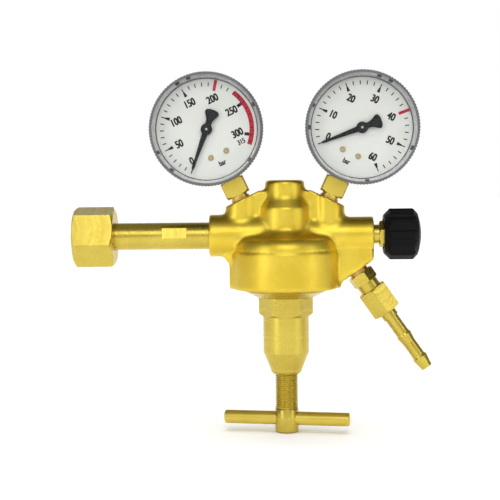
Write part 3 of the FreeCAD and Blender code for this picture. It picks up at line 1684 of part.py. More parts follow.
    def link(self, tail_across, tail_up):
        """The link from the sector's arm to the tube's lug, with a pin at each end."""
        tip_across = size.tube_radius * cosine(size.tube_end)
        tip_up = -(size.tube_radius * sine(size.tube_end))
        run = Vector(number(tip_across - tail_across), number(tip_up - tail_up), 0)
        strap = place(block(self.title("strap"), (run.Length, size.link_half * 2, size.link_thick)),
                      (0, -size.link_half, 0))
        solids = [strap]
        pin_low = size.sector_back - size.link_pin_over - size.link_back
        for name, along in (("near", 0), ("far", run.Length)):
            solids.append(rod(self.title("link_eye_" + name), size.link_half, size.link_thick,
                              (along, 0, 0)))
            solids.append(rod(self.title("link_pin_" + name), size.link_pin_radius,
                              -pin_low, (along, 0, pin_low)))
        link = fuse(self.title("link_blank"), *solids)
        turn = math.degrees(math.atan2(run.y, run.x))
        place(link, (tail_across, tail_up, size.link_back), Rotation(UP, turn))
        self.add("link", grouped(self.title("pinned_link"), link))

    def pointer(self):
        """The black pointer on its hub, at zero."""
        low = size.pointer_back
        half = size.pointer_half
        tip = size.pointer_tip_half
        neck = size.pointer_neck
        neck_half = half * size.pointer_neck_share
        taper_end = neck + size.pointer_taper_long
        fan = size.pointer_tail_half
        blade = plate(self.title("blade"), [
            (-half, 0),
            (-fan, -size.pointer_tail_long, -size.pointer_tail_long),
            (fan, -size.pointer_tail_long),
            (half, 0),
            (neck_half, neck),
            (tip, taper_end),
            (tip, size.pointer_long),
            (-tip, size.pointer_long),
            (-tip, taper_end),
            (-neck_half, neck),
        ], size.pointer_thick)
        place(blade, (0, 0, low))
        hub = rod(self.title("pointer_hub"), size.pointer_hub_radius,
                  low + size.pointer_thick - size.pointer_hub_back + size.pointer_hub_step,
                  (0, 0, size.pointer_hub_back))
        hole = rod(self.title("pointer_hole"), size.arbor_radius, size.window_front, (0, 0, 0))
        pointer = cut(self.title("bored_pointer"),
                      fuse(self.title("pointer_blank"), blade, hub), hole)
        place(pointer, (0, 0, 0), Rotation(UP, size.pointer_zero.value))
        self.add("pointer", grouped(self.title("set_pointer"), pointer))

    def make(self):
        """All of this gauge's pieces."""
        self.socket()
        self.housing()
        self.dial()
        self.tube()
        self.frame()
        self.gears()
        self.pointer()


def write_pieces():
    """Stops on a failed object or a bad shape, then writes every piece's file."""
    for obj in doc.Objects:
        if "Invalid" in obj.State or "Error" in obj.State:
            raise RuntimeError("failed: %s %s" % (obj.Name, obj.State))
    for label, obj in NODES:
        shape = obj.Shape
        if shape.isNull() or not shape.isValid() or not shape.Solids:
            raise RuntimeError("bad shape: " + label)
    for label, obj in NODES:
        obj.Shape.exportStep("parts/%s.step" % label)


make_inlet()
make_forging()
diaphragm_flat, plate_low = make_diaphragm()
make_capsule(diaphragm_flat)
make_bonnet()
screw_top = make_spring(plate_low)
make_screw(screw_top)
make_gland()
make_stem()
make_knob()
make_adapter()
make_tail()
Gauge("inlet", -1).make()
Gauge("outlet", 1).make()
doc.recompute()
write_pieces()
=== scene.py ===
import json
import math

import bmesh
import bpy
import numpy as np
from mathutils import Matrix, Vector


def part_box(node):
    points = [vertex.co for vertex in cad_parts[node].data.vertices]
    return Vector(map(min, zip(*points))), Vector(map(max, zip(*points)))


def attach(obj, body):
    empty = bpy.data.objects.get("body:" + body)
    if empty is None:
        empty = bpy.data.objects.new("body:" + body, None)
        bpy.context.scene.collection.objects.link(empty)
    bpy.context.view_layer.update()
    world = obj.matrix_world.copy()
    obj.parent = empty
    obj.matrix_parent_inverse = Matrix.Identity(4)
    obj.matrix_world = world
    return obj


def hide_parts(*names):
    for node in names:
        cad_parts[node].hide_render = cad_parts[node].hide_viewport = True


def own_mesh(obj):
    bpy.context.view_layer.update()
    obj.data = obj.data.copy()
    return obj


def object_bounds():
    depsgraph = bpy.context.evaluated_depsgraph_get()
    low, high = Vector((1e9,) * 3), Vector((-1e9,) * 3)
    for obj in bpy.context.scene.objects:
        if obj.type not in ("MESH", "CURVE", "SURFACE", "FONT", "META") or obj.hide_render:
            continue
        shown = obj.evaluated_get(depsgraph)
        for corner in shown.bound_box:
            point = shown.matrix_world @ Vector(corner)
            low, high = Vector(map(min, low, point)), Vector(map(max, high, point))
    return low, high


# A nitrogen regulator: brass forging, two gauges, bonnet with tee screw, valve
# and hose tail. Metres, +Z up, the dials face -Y. Lengths are written in
# millimetres and multiplied by MM.

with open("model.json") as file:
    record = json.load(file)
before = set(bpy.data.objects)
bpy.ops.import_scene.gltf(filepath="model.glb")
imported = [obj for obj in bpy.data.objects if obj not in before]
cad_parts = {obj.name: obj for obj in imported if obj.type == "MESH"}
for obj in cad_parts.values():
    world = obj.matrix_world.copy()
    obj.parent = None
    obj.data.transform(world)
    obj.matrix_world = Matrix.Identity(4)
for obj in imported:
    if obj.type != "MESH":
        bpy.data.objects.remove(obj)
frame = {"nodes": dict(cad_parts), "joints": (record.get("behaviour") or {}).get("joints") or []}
cad_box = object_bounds()

MM = 0.001
CAD = frame["nodes"]
JOINTS = {joint["name"]: joint for joint in frame["joints"]}
MAIN_X = JOINTS["adjusting_screw_turn"]["pos_m"][0]
NAMES = ("inlet", "outlet")


# Camera, floor and light

CAMERA_FAR = 750 * MM
CAMERA_AZIMUTH = 1.5
CAMERA_RISE = 3.5
CAMERA_ROLL = -0.65
CAMERA_AIM = Vector((89.9 * MM, 0.0, -8.8 * MM))
PICTURE_WIDE = 298.8 * MM
SENSOR = 36.0
CLIP_NEAR = 0.01
CLIP_FAR = 50.0
FLOOR_GAP = 0.4 * MM
FLOOR_HALF = 6.0
FLOOR_WHITE = 0.96

# The world's brightness follows its direction: how far behind, how low and how far in front.
WORLD_BEHIND = (0.55, 0.93)
WORLD_LOW = (0.30, 0.62)
WORLD_FRONT = (-0.95, -0.2)
WORLD_BASE = 0.26
WORLD_BEHIND_GAIN = 0.74
WORLD_FRONT_GAIN = 0.36

# Each soft box: its name, place in metres, width, height and watts.
LAMPS = (
    ("key", (0.18, -1.1, 0.75), 0.9, 0.6, 4.2),
    ("left_strip", (-0.75, -0.75, 0.15), 0.25, 1.2, 2.8),
    ("right_strip", (1.05, -0.55, 0.15), 0.25, 1.2, 1.7),
)
CEILING_LEVEL = 2.55
CEILING_SPREAD = 70.0

EDGE_ROUND = 0.3
EDGE_SAMPLES = 6


def put(obj):
    """Links a new object to the scene and returns it."""
    bpy.context.scene.collection.objects.link(obj)
    return obj


def make_camera():
    """The camera at the photograph's angle, rolled as the photograph is."""
    data = bpy.data.cameras.new("camera")
    data.sensor_width = SENSOR
    data.lens = SENSOR * CAMERA_FAR / PICTURE_WIDE
    data.clip_start = CLIP_NEAR
    data.clip_end = CLIP_FAR
    camera = put(bpy.data.objects.new("camera", data))
    azimuth = math.radians(CAMERA_AZIMUTH)
    rise = math.radians(CAMERA_RISE)
    away = Vector((math.sin(azimuth) * math.cos(rise),
                   -math.cos(azimuth) * math.cos(rise), math.sin(rise)))
    camera.location = CAMERA_AIM + away * CAMERA_FAR
    look = (-away).to_track_quat("-Z", "Y")
    roll = Matrix.Rotation(math.radians(CAMERA_ROLL), 3, "Z").to_quaternion()
    camera.rotation_mode = "QUATERNION"
    camera.rotation_quaternion = look @ roll
    bpy.context.scene.camera = camera


class Shade:
    """A short way to build one material's nodes."""

    def __init__(self, name, tree=None):
        if tree is None:
            self.material = bpy.data.materials.new(name)
            self.material.use_nodes = True
            tree = self.material.node_tree
        self.tree = tree
        tree.nodes.clear()

    def new(self, kind, inputs=None, **settings):
        """A node with its settings, and its inputs given as values or as sockets."""
        made = self.tree.nodes.new(kind)
        for key, value in settings.items():
            setattr(made, key, value)
        for key, value in (inputs or {}).items():
            if isinstance(value, bpy.types.NodeSocket):
                self.tree.links.new(value, made.inputs[key])
            else:
                made.inputs[key].default_value = value
        return made

    def math(self, operation, first, second=0.0, third=0.0):
        """One Math node."""
        return self.new("ShaderNodeMath", {0: first, 1: second, 2: third},
                        operation=operation).outputs[0]

    def vector(self, operation, first, second):
        """One Vector Math node."""
        made = self.new("ShaderNodeVectorMath", {0: first, 1: second}, operation=operation)
        return made.outputs["Value" if operation in ("DOT_PRODUCT", "LENGTH") else "Vector"]

    def noise(self, where, scale, detail=2.0, roughness=0.5):
        """A noise value from 0 to 1."""
        return self.new("ShaderNodeTexNoise", {"Vector": where, "Scale": scale, "Detail": detail,
                                               "Roughness": roughness}).outputs["Fac"]

    def spread(self, value, low, high, to_low, to_high):
        """A value mapped from one range to another, and held inside it."""
        return self.new("ShaderNodeMapRange", {"Value": value, "From Min": low, "From Max": high,
                                               "To Min": to_low, "To Max": to_high},
                        interpolation_type="SMOOTHSTEP").outputs["Result"]

    def mix(self, share, first, second):
        """A colour between two others."""
        made = self.new("ShaderNodeMix", data_type="RGBA")
        for index, value in ((0, share), (6, first), (7, second)):
            if isinstance(value, bpy.types.NodeSocket):
                self.tree.links.new(value, made.inputs[index])
            else:
                made.inputs[index].default_value = value
        return made.outputs[2]

    def bump(self, height, strength, distance, normal=None):
        """A bump from a height value; distance is in metres."""
        inputs = {"Height": height, "Strength": strength, "Distance": distance}
        if normal is not None:
            inputs["Normal"] = normal
        return self.new("ShaderNodeBump", inputs).outputs["Normal"]

    def soft_edge(self):
        """The normal, rounded over sharp edges as a file or a tumbler leaves them."""
        radius = {"Radius": EDGE_ROUND * MM}
        return self.new("ShaderNodeBevel", radius, samples=EDGE_SAMPLES).outputs[0]

    def finish(self, inputs):
        """The Principled shader and the output, with the shader's sockets given."""
        shader = self.new("ShaderNodeBsdfPrincipled", inputs)
        self.new("ShaderNodeOutputMaterial", {"Surface": shader.outputs[0]})
        return self.material


def opaque(red, green, blue):
    """A colour with its alpha."""
    return (red, green, blue, 1.0)


def make_floor():
    """A plain pale floor, just under the tee bar."""
    low = cad_box[0][2] - FLOOR_GAP
    mesh = bpy.data.meshes.new("floor")
    mesh.from_pydata([(-FLOOR_HALF, -FLOOR_HALF, low), (FLOOR_HALF, -FLOOR_HALF, low),
                      (FLOOR_HALF, FLOOR_HALF, low), (-FLOOR_HALF, FLOOR_HALF, low)],
                     [], [(0, 1, 2, 3)])
    floor = put(bpy.data.objects.new("floor", mesh))
    shade = Shade("floor_paint")
    white = opaque(FLOOR_WHITE, FLOOR_WHITE, FLOOR_WHITE)
    mesh.materials.append(shade.finish({"Base Color": white, "Roughness": 0.9,
                                        "Specular IOR Level": 0.1}))


def make_world():
    """A studio dome: white along the horizon behind the object, darker overhead and aside."""
    world = bpy.data.worlds.new("studio")
    world.use_nodes = True
    bpy.context.scene.world = world
    shade = Shade("studio", world.node_tree)
    where = shade.new("ShaderNodeTexCoord").outputs["Generated"]
    parts = shade.new("ShaderNodeSeparateXYZ", {0: where}).outputs
    behind = shade.spread(parts[1], *WORLD_BEHIND, 0.0, 1.0)
    low = shade.spread(parts[2], *WORLD_LOW, 1.0, 0.0)
    front = shade.spread(parts[1], *WORLD_FRONT, 1.0, 0.0)
    level = shade.math("MULTIPLY", behind, low)
    level = shade.math("MULTIPLY_ADD", level, WORLD_BEHIND_GAIN, WORLD_BASE)
    front_low = shade.math("MULTIPLY", front, low)
    level = shade.math("MULTIPLY_ADD", front_low, WORLD_FRONT_GAIN, level)
    back = shade.new("ShaderNodeBackground", {"Color": opaque(1.0, 1.0, 1.0), "Strength": level})
    shade.new("ShaderNodeOutputWorld", {"Surface": back.outputs[0]})


def area_light(name, place, wide, high, watts):
    """A soft box that faces the middle of the object."""
    data = bpy.data.lights.new(name, "AREA")
    data.shape = "RECTANGLE"
    data.size = wide
    data.size_y = high
    data.energy = watts
    lamp = put(bpy.data.objects.new(name, data))
    lamp.location = place
    aim = Vector((MAIN_X, 0.0, 0.0)) - Vector(place)
    lamp.rotation_euler = aim.to_track_quat("-Z", "Y").to_euler()
    lamp.visible_camera = False


def make_light():
    """A large key from the upper front, a tall strip each side, and an even ceiling.

    The ceiling lights the floor and the dials only, so that brass that faces
    up stays dark, as it is under the photographer's small overhead.
    """
    for lamp in LAMPS:
        area_light(*lamp)
    data = bpy.data.lights.new("ceiling", "SUN")
    data.energy = CEILING_LEVEL
    data.angle = math.radians(CEILING_SPREAD)
    ceiling = put(bpy.data.objects.new("ceiling", data))
    ceiling.visible_glossy = False


# Materials: noise scales are per metre, bump depths in millimetres

BRASS_CLOUD = 55.0
BRASS_SPECK = 900.0
BRASS_GROOVE = 2600.0
BRASS_BROAD = 420.0
METAL_SPECK = 700.0
COAT_SPECK = 600.0
COAT_FINE = 900.0
COAT_CLOUD = 40.0
GLASS_HAZE = 120.0
GLASS_IOR = 1.22
BUMP_DEPTH = 0.05
GROOVE_DEPTH = 0.03
GOLD = (0.76, 0.575, 0.068)
GOLD_DARK = (0.60, 0.385, 0.022)
GREEN_GOLD = (0.62, 0.487, 0.086)
GREEN_GOLD_DARK = (0.50, 0.36, 0.053)
MILLED_GOLD = (0.74, 0.58, 0.105)
MILLED_GOLD_DARK = (0.60, 0.43, 0.065)
AXIS_X = (1.0, 0.0, 0.0)
AXIS_Z = (0.0, 0.0, 1.0)


def brass(name, colour, dark, roughness, axis=None, centre=None, grain=0.05):
    """Brass: forged and grained, or turned where an axis is given."""
    shade = Shade(name)
    where = shade.new("ShaderNodeTexCoord").outputs["Object"]
    cloud = shade.noise(where, BRASS_CLOUD, 3.0)
    speck = shade.noise(where, BRASS_SPECK, 1.0)
    patch = shade.spread(cloud, 0.32, 0.68, 0.0, 1.0)
    tone = shade.mix(shade.math("MULTIPLY", patch, 0.45), opaque(*colour), opaque(*dark))
    tone = shade.mix(shade.spread(speck, 0.50, 0.80, 0.0, 0.16), tone, opaque(*dark))
    rough = shade.math("ADD", shade.spread(speck, 0.3, 0.7, -0.02, 0.03), roughness)
    normal = shade.bump(speck, grain, BUMP_DEPTH * MM, shade.soft_edge())
    if axis is not None:
        offset = shade.vector("SUBTRACT", where, Vector(centre))
        along = shade.vector("DOT_PRODUCT", offset, Vector(axis))
        flat = shade.new("ShaderNodeVectorMath", {0: offset, 1: Vector(axis)},
                         operation="CROSS_PRODUCT").outputs["Vector"]
        reach = shade.vector("LENGTH", flat, (0.0, 0.0, 0.0))
        step = shade.math("ADD", along, reach)
        line = shade.new("ShaderNodeCombineXYZ", {"X": step}).outputs[0]
        groove = shade.noise(line, BRASS_GROOVE, 3.0, 0.7)
        broad = shade.noise(line, BRASS_BROAD, 2.0)
        normal = shade.bump(groove, 0.08, GROOVE_DEPTH * MM, normal)
        rough = shade.math("ADD", rough, shade.spread(broad, 0.3, 0.7, -0.04, 0.05))
        tone = shade.mix(shade.spread(groove, 0.45, 0.8, 0.0, 0.14), tone, opaque(*dark))
    return shade.finish({"Base Color": tone, "Metallic": 1.0, "Roughness": rough,
                         "Normal": normal})


def plain_metal(name, colour, roughness, grain=0.1):
    """A plain metal with a fine uneven surface."""
    shade = Shade(name)
    where = shade.new("ShaderNodeTexCoord").outputs["Object"]
    speck = shade.noise(where, METAL_SPECK, 3.0, 0.6)
    rough = shade.math("ADD", shade.spread(speck, 0.3, 0.7, -0.06, 0.08), roughness)
    darker = opaque(*[part * 0.72 for part in colour])
    tone = shade.mix(shade.spread(speck, 0.45, 0.75, 0.0, 0.6), opaque(*colour), darker)
    return shade.finish({"Base Color": tone, "Metallic": 1.0, "Roughness": rough,
                         "Normal": shade.bump(speck, grain, BUMP_DEPTH * MM)})


def coated(name, colour, roughness, scale=COAT_SPECK, grain=0.1, variation=0.15, shine=0.5):
    """Paint, plastic or rubber with a fine texture."""
    shade = Shade(name)
    where = shade.new("ShaderNodeTexCoord").outputs["Object"]
    speck = shade.noise(where, scale, 3.0, 0.6)
    tone = opaque(*colour)
    if variation:
        cloud = shade.noise(where, COAT_CLOUD, 2.0)
        lower = opaque(*[part * (1 - variation) for part in colour])
        tone = shade.mix(shade.spread(cloud, 0.3, 0.7, 0.0, 1.0), tone, lower)
    rough = shade.math("ADD", shade.spread(speck, 0.3, 0.7, -0.05, 0.06), roughness)
    return shade.finish({"Base Color": tone, "Roughness": rough, "Specular IOR Level": shine,
                         "Normal": shade.bump(speck, grain, BUMP_DEPTH * MM)})


def make_materials():
    """Every material by name."""
    outlet = JOINTS["outlet_nut_spin"]
    middle = (MAIN_X, 0.0, 0.0)
    return {
        "forged": brass("forged_brass", GOLD, GOLD_DARK, 0.40, grain=0.4),
        "turned_x": brass("turned_brass_x", GREEN_GOLD, GREEN_GOLD_DARK, 0.30, AXIS_X, (0, 0, 0)),
        "turned_z": brass("turned_brass_z", GREEN_GOLD, GREEN_GOLD_DARK, 0.30, AXIS_Z, middle),
        "turned_outlet": brass("turned_brass_outlet", GREEN_GOLD, GREEN_GOLD_DARK, 0.28,
                               outlet["axis"], outlet["pos_m"]),
        "milled": brass("milled_brass", MILLED_GOLD, MILLED_GOLD_DARK, 0.36, grain=0.02),
        "copper": plain_metal("copper_washer", (0.58, 0.36, 0.13), 0.36),
        "bronze": plain_metal("bronze_tube", (0.66, 0.45, 0.24), 0.32),
        "steel": plain_metal("bright_steel", (0.56, 0.56, 0.57), 0.3),
        "aluminium": plain_metal("aluminium_plate", (0.76, 0.76, 0.78), 0.35),
        "case": coated("black_case", (0.03, 0.03, 0.032), 0.35),
        "dial": coated("white_dial", (0.59, 0.60, 0.565), 0.55, variation=0.03),
        "ink": coated("black_ink", (0.010, 0.010, 0.011), 0.6, variation=0.0, shine=0.2),
        "red": coated("red_ink", (0.40, 0.014, 0.035), 0.6, variation=0.05, shine=0.2),
        # The clear window's inner cone: an opaque light grey that is a painted sheen, standing in
        # for the light on and through clear plastic.
        "rim_painted_sheen": coated("rim_cone_painted_sheen", (0.44, 0.45, 0.45), 0.25, COAT_FINE, 0.05),
        "red_dark": coated("dark_red_ink", (0.12, 0.004, 0.008), 0.6, variation=0.05, shine=0.2),
        "rim": coated("grey_rim", (0.125, 0.125, 0.125), 0.33, COAT_FINE, 0.08),
        "pointer": coated("pointer_paint", (0.010, 0.012, 0.012), 0.5, grain=0.01, shine=0.15),
        "knob": coated("knob_plastic", (0.004, 0.004, 0.0045), 0.45, 1500.0, 0.3, shine=0.1),
        "rubber": coated("black_rubber", (0.02, 0.02, 0.02), 0.6),
        "seal": coated("white_seal", (0.80, 0.80, 0.77), 0.5),
        "screw": plain_metal("screw_brass", (0.46, 0.37, 0.17), 0.4),
        "glass": make_glass(),
    }


def make_glass():
    """Clear plastic that lets the lamps' light through to the dial."""
    shade = Shade("clear_window")
    where = shade.new("ShaderNodeTexCoord").outputs["Object"]
    haze = shade.noise(where, GLASS_HAZE, 2.0)
    body = shade.new("ShaderNodeBsdfPrincipled", {
        "Base Color": opaque(1.0, 1.0, 1.0), "Transmission Weight": 1.0, "IOR": GLASS_IOR,
        "Roughness": shade.spread(haze, 0.3, 0.7, 0.0, 0.03)})
    clear = shade.new("ShaderNodeBsdfTransparent", {"Color": opaque(0.97, 0.97, 0.97)})
    shadow = shade.new("ShaderNodeLightPath").outputs["Is Shadow Ray"]
    both = shade.new("ShaderNodeMixShader", {0: shadow, 1: body.outputs[0], 2: clear.outputs[0]})
    shade.new("ShaderNodeOutputMaterial", {"Surface": both.outputs[0]})
    return shade.material


GAUGE_LOOKS = {
    "socket": "milled", "washer": "copper", "case": "case", "window": "glass", "dial": "dial",
    "dial_screws": "screw", "bourdon_tube": "bronze", "tube_tip": "bronze",
    "movement_frame": "milled", "sector_gear": "milled", "link": "milled",
    "pinion_arbor": "steel", "pointer": "pointer",
}
NODE_LOOKS = {
    "body_forging": "forged", "inlet_pipe": "turned_x", "inlet_gasket": "seal",
    "inlet_filter": "bronze", "inlet_nut": "turned_x", "bonnet": "turned_z",
    "diaphragm": "rubber", "slip_ring": "steel", "diaphragm_plate": "aluminium",
    "valve_capsule": "turned_z", "capsule_seal": "rubber", "valve_insert": "seal",
    "poppet": "turned_z", "poppet_spring": "steel", "main_spring": "steel",
    "spring_seat": "steel", "thrust_ball": "steel", "adjusting_screw": "turned_z",
    "tee_bar": "milled", "valve_gland": "turned_x", "gland_seal": "seal",
    "valve_stem": "turned_x", "valve_disc": "turned_x", "disc_seal": "seal",
    "stem_seal": "rubber", "hand_knob": "knob", "knob_insert": "turned_x",
    "outlet_adapter": "turned_outlet", "adapter_seal": "copper",
    "outlet_nut": "turned_outlet", "hose_tail": "turned_outlet",
}


def paint(obj, material):
    """Gives an object one material."""
    obj.data.materials.clear()
    obj.data.materials.append(material)


def paint_nodes():
    """Gives every CAD node its material."""
    looks = dict(NODE_LOOKS)
    for name in NAMES:
        for piece, look in GAUGE_LOOKS.items():
            looks["%s_gauge_%s" % (name, piece)] = look
    for node, obj in CAD.items():
        paint(obj, MATERIALS[looks[node]])


# Shapes made here: gauge windows and dial print, the screw's thread, the forging's skin

LEAN = 25.0
DIAL_FRONT = 9.4
PRINT_LIFT = 0.03
SWEEP_START = -135.0
SWEEP = 270.0
SCALES = {
    "inlet": {"full": 315, "major": 50, "minor": 10, "line": 200, "arc": (230, 315),
              "over_arc": (250, 300)},
    "outlet": {"full": 60, "major": 10, "minor": 2, "line": 40, "arc": None,
               "over_arc": ()},
}
# Radii, half widths and letter heights of the print on a dial.
TICK_INNER = 25.1
TICK_OUTER = 27.4
MAJOR_OUTER = 27.5
TICK_HALF = 0.30
WEDGE_INNER = 22.4
WEDGE_OUTER = 25.2
WEDGE_HALF = 0.95
LINE_INNER = 22.8
LINE_OUTER = 29.4
LINE_HALF = 0.85
LINE_FLARE = 1.1
ARC_INNER = 25.2
ARC_OUTER = 28.0
ARC_TICK = (25.5, 27.4)
INK_BLACK = 0
INK_RED = 1
INK_DARK_RED = 2
NUMBER_HIGH = 4.3
NUMBER_RADIUS = 18.2
NUMBER_WIDE = 0.74
NUMBER_BOLD = (0.24, 0.14)
BOLD_STEPS = ((0, 0), (-1, -1), (1, -1), (1, 1), (-1, 1))
BOLD_LIFT = 0.1
ZERO_RADIUS = 20.4
ZERO_ANGLE = -129.0
UNIT_HIGH = 3.0
UNIT_RADIUS = 21.6
SMALL_HIGH = 2.9

# The window's rim: radii, and heights in front of the gauge's middle plane.
RIM_STEPS = 440
RIM_TEETH = 110
TOOTH_DEPTH = 0.45
RIM_OUTER = 33.5
RIM_INNER = 31.6
RIM_LEDGE = 30.0
RIM_FRONT = 18.0
RIM_BACK = 8.5
SKIRT_INNER = 31.6
LEDGE_BACK = 13.8
LEDGE_LOW = 9.7
LEDGE_WALL = 0.5
RIM_CONE_ROW = 6
RIM_TEETH_ROWS = (1.0, 1.0, 0.5)
# Slot of the light grey that paints a sheen on the window's inner cone.
RIM_PAINTED_SHEEN = 1
RIM_LUG = 2
RIM_CREASE = 35.0
PANE_FRONT = 17.65
PANE_TAPER = 0.2
PANE_STEPS = 96
PANE_CREASE = 30.0
GLASS_THICK = 1.4
LUG_ANGLES = (6.0, -7.0, -91.0, -115.0, 88.0, 150.0)
LUG_HALF = 2.2

# Half of the pointer's outline as (across, up), from its point to the end of its fan.
POINTER_HALF = [
    (0.10, 27.2), (0.16, 24.9), (0.65, 24.3), (0.75, 23.5), (0.85, 18.0), (1.6, 3.0), (1.6, -2.8),
    (1.8, -5.2), (2.8, -7.4), (3.8, -8.9), (4.2, -10.0), (3.9, -10.9), (3.0, -11.5), (1.5, -11.9),
]
POINTER_BACK = 11.1
POINTER_THICK = 0.4
POINTER_EDGE = 0.06
ARBOR_RADIUS = 0.7
HUB_RADIUS = 3.4
HUB_BACK = 10.2
HUB_FRONT = 11.8
HUB_STEPS = 48
HUB_EDGE = 0.4
POINTER_CREASE = 40.0

# The web between a gauge column and the tower, as (out from the axis, above the crest).
CREST_CORNER = 14.8
CREST_NEAR = 0.6
CREST_HALF = 5.5
CREST_WEB = ((16.0, -0.7), (16.0, -9.0), (8.5, -9.0), (8.5, 0.2))

SCREW_RADIUS = 6.85
HEAD_RADIUS = 7.0
HEAD_LOW = -118.2
HEAD_EDGE = 0.8
HEAD_BREAK = 0.24
THREAD_LOW = -104.0
THREAD_PITCH = 1.25
THREAD_DEPTH = 0.72
THREAD_ROOT = 0.875
THREAD_FLANK = 0.625
THREAD_FADE = 1.2
THREAD_STEPS = 56
THREAD_ROWS = 8
SCREW_CREASE = 50.0

# The forging's skin: even cells, then passes that fill hollow creases, clear of the bores.
SKIN_VOXEL = 0.8
SKIN_PASSES = 30
SKIN_RATE = 0.5
SKIN_EVEN = 2
SKIN_REFRESH = 10
SKIN_GROOVE = (-11.2, -7.2)
SKIN_GROOVE_IN = 29.0
SKIN_BELL_BORE = 28.3
SKIN_BELL_TOP = -11.9
SKIN_CORE = 9.3


def make_piece(name, points, faces, look, body):
    """A mesh from points in metres, with its material and body."""
    mesh = bpy.data.meshes.new(name)
    mesh.from_pydata(points, [], faces)
    mesh.validate()
    looks = look if isinstance(look, (list, tuple)) else [look]
    for entry in looks:
        mesh.materials.append(MATERIALS[entry])
    piece = put(bpy.data.objects.new(name, mesh))
    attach(piece, body)
    return piece


def smooth_by_angle(mesh, limit):
    """Smooth shading, with every edge sharper than the limit kept hard."""
    work = bmesh.new()
    work.from_mesh(mesh)
    bmesh.ops.recalc_face_normals(work, faces=work.faces)
    for face in work.faces:
        face.smooth = True
    for edge in work.edges:
        edge.smooth = len(edge.link_faces) == 2 and edge.calc_face_angle(0.0) < math.radians(limit)
    work.to_mesh(mesh)
    work.free()


def gauge_frame(name):
    """The matrix from a gauge's dial frame (across, up, forward) to the part's frame."""
    lean = math.radians(LEAN if name == "outlet" else -LEAN)
    across = Vector((math.cos(lean), 0.0, -math.sin(lean)))
    up = Vector((math.sin(lean), 0.0, math.cos(lean)))
    turn = Matrix((across, up, Vector((0.0, -1.0, 0.0)))).transposed().to_4x4()
    return Matrix.Translation(JOINTS[name + "_pointer_turn"]["pos_m"]) @ turn


def placed(frame_matrix, points):
    """Points in millimetres of a dial frame, as points in metres of the part's frame."""
    return [frame_matrix @ (Vector(point) * MM) for point in points]


def ring_faces(steps, rows, first=0):
    """The quads of a closed ring whose section is a closed row of points."""
    faces = []
    for step in range(steps):
        here = first + step * rows
        there = first + ((step + 1) % steps) * rows
        for row in range(rows):
            after = (row + 1) % rows
            faces.append((here + row, here + after, there + after, there + row))
    return faces


def make_rim(name):
    """The serrated rim of the snap-on window, with the lugs that hold it."""
    section = [(RIM_OUTER, RIM_BACK + 0.4), (RIM_OUTER, RIM_FRONT - 1.6),
               (RIM_OUTER - 0.4, RIM_FRONT - 0.7), (RIM_OUTER - 1.0, RIM_FRONT - 0.15),
               (RIM_OUTER - 1.5, RIM_FRONT), (RIM_INNER + 0.3, RIM_FRONT),
               (RIM_INNER, RIM_FRONT - 0.3), (RIM_LEDGE + 0.2, LEDGE_BACK + 0.5),
               (RIM_LEDGE, LEDGE_LOW), (RIM_LEDGE + LEDGE_WALL, LEDGE_LOW),
               (RIM_LEDGE + LEDGE_WALL, LEDGE_BACK), (SKIRT_INNER, LEDGE_BACK),
               (SKIRT_INNER, RIM_BACK), (RIM_OUTER - 0.4, RIM_BACK)]
    rows = len(section)
    points = []
    for step in range(RIM_STEPS):
        angle = 2 * math.pi * step / RIM_STEPS
        wave = 0.5 - 0.5 * math.cos(RIM_TEETH * angle)
        for index, (radius, forward) in enumerate(section):
            if index < len(RIM_TEETH_ROWS):
                radius -= TOOTH_DEPTH * wave * RIM_TEETH_ROWS[index]
            points.append((radius * math.sin(angle), radius * math.cos(angle), forward))
    rim = make_piece(name + "_gauge_rim", placed(gauge_frame(name), points),
                     ring_faces(RIM_STEPS, rows), ("rim", "rim_painted_sheen", "case"), "root")
    # The window's inner cone is painted light grey as a painted sheen of clear plastic, apart from
    # the dark lugs.
    for index, polygon in enumerate(rim.data.polygons):
        step, row = divmod(index, rows)
        angle = 360.0 * step / RIM_STEPS
        near = min(abs((angle - lug + 180.0) % 360.0 - 180.0) for lug in LUG_ANGLES)
        if row == RIM_CONE_ROW:
            polygon.material_index = RIM_LUG if near < LUG_HALF else RIM_PAINTED_SHEEN
        elif row == RIM_CONE_ROW + 1:
            polygon.material_index = RIM_PAINTED_SHEEN
    smooth_by_angle(rim.data, RIM_CREASE)
    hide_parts(name + "_gauge_window")


def make_pane(name):
    """The clear pane inside the rim."""
    pane_rows = [(RIM_INNER, PANE_FRONT), (RIM_INNER - PANE_TAPER, PANE_FRONT - GLASS_THICK)]
    steps = PANE_STEPS
    points = []
    for radius, forward in pane_rows:
        for step in range(steps):
            angle = 2 * math.pi * step / steps
            points.append((radius * math.sin(angle), radius * math.cos(angle), forward))
    faces = [tuple(range(steps)), tuple(reversed(range(steps, 2 * steps)))]
    for step in range(steps):
        after = (step + 1) % steps
        faces.append((step, steps + step, steps + after, after))
    pane = make_piece(name + "_gauge_pane", placed(gauge_frame(name), points), faces, "glass",
                      "root")
    smooth_by_angle(pane.data, PANE_CREASE)
    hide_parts(name + "_gauge_window")


def dial_angle(scale, value):
    """Where a value stands on the dial, in radians clockwise from straight up."""
    return math.radians(SWEEP_START + SWEEP * value / scale["full"])


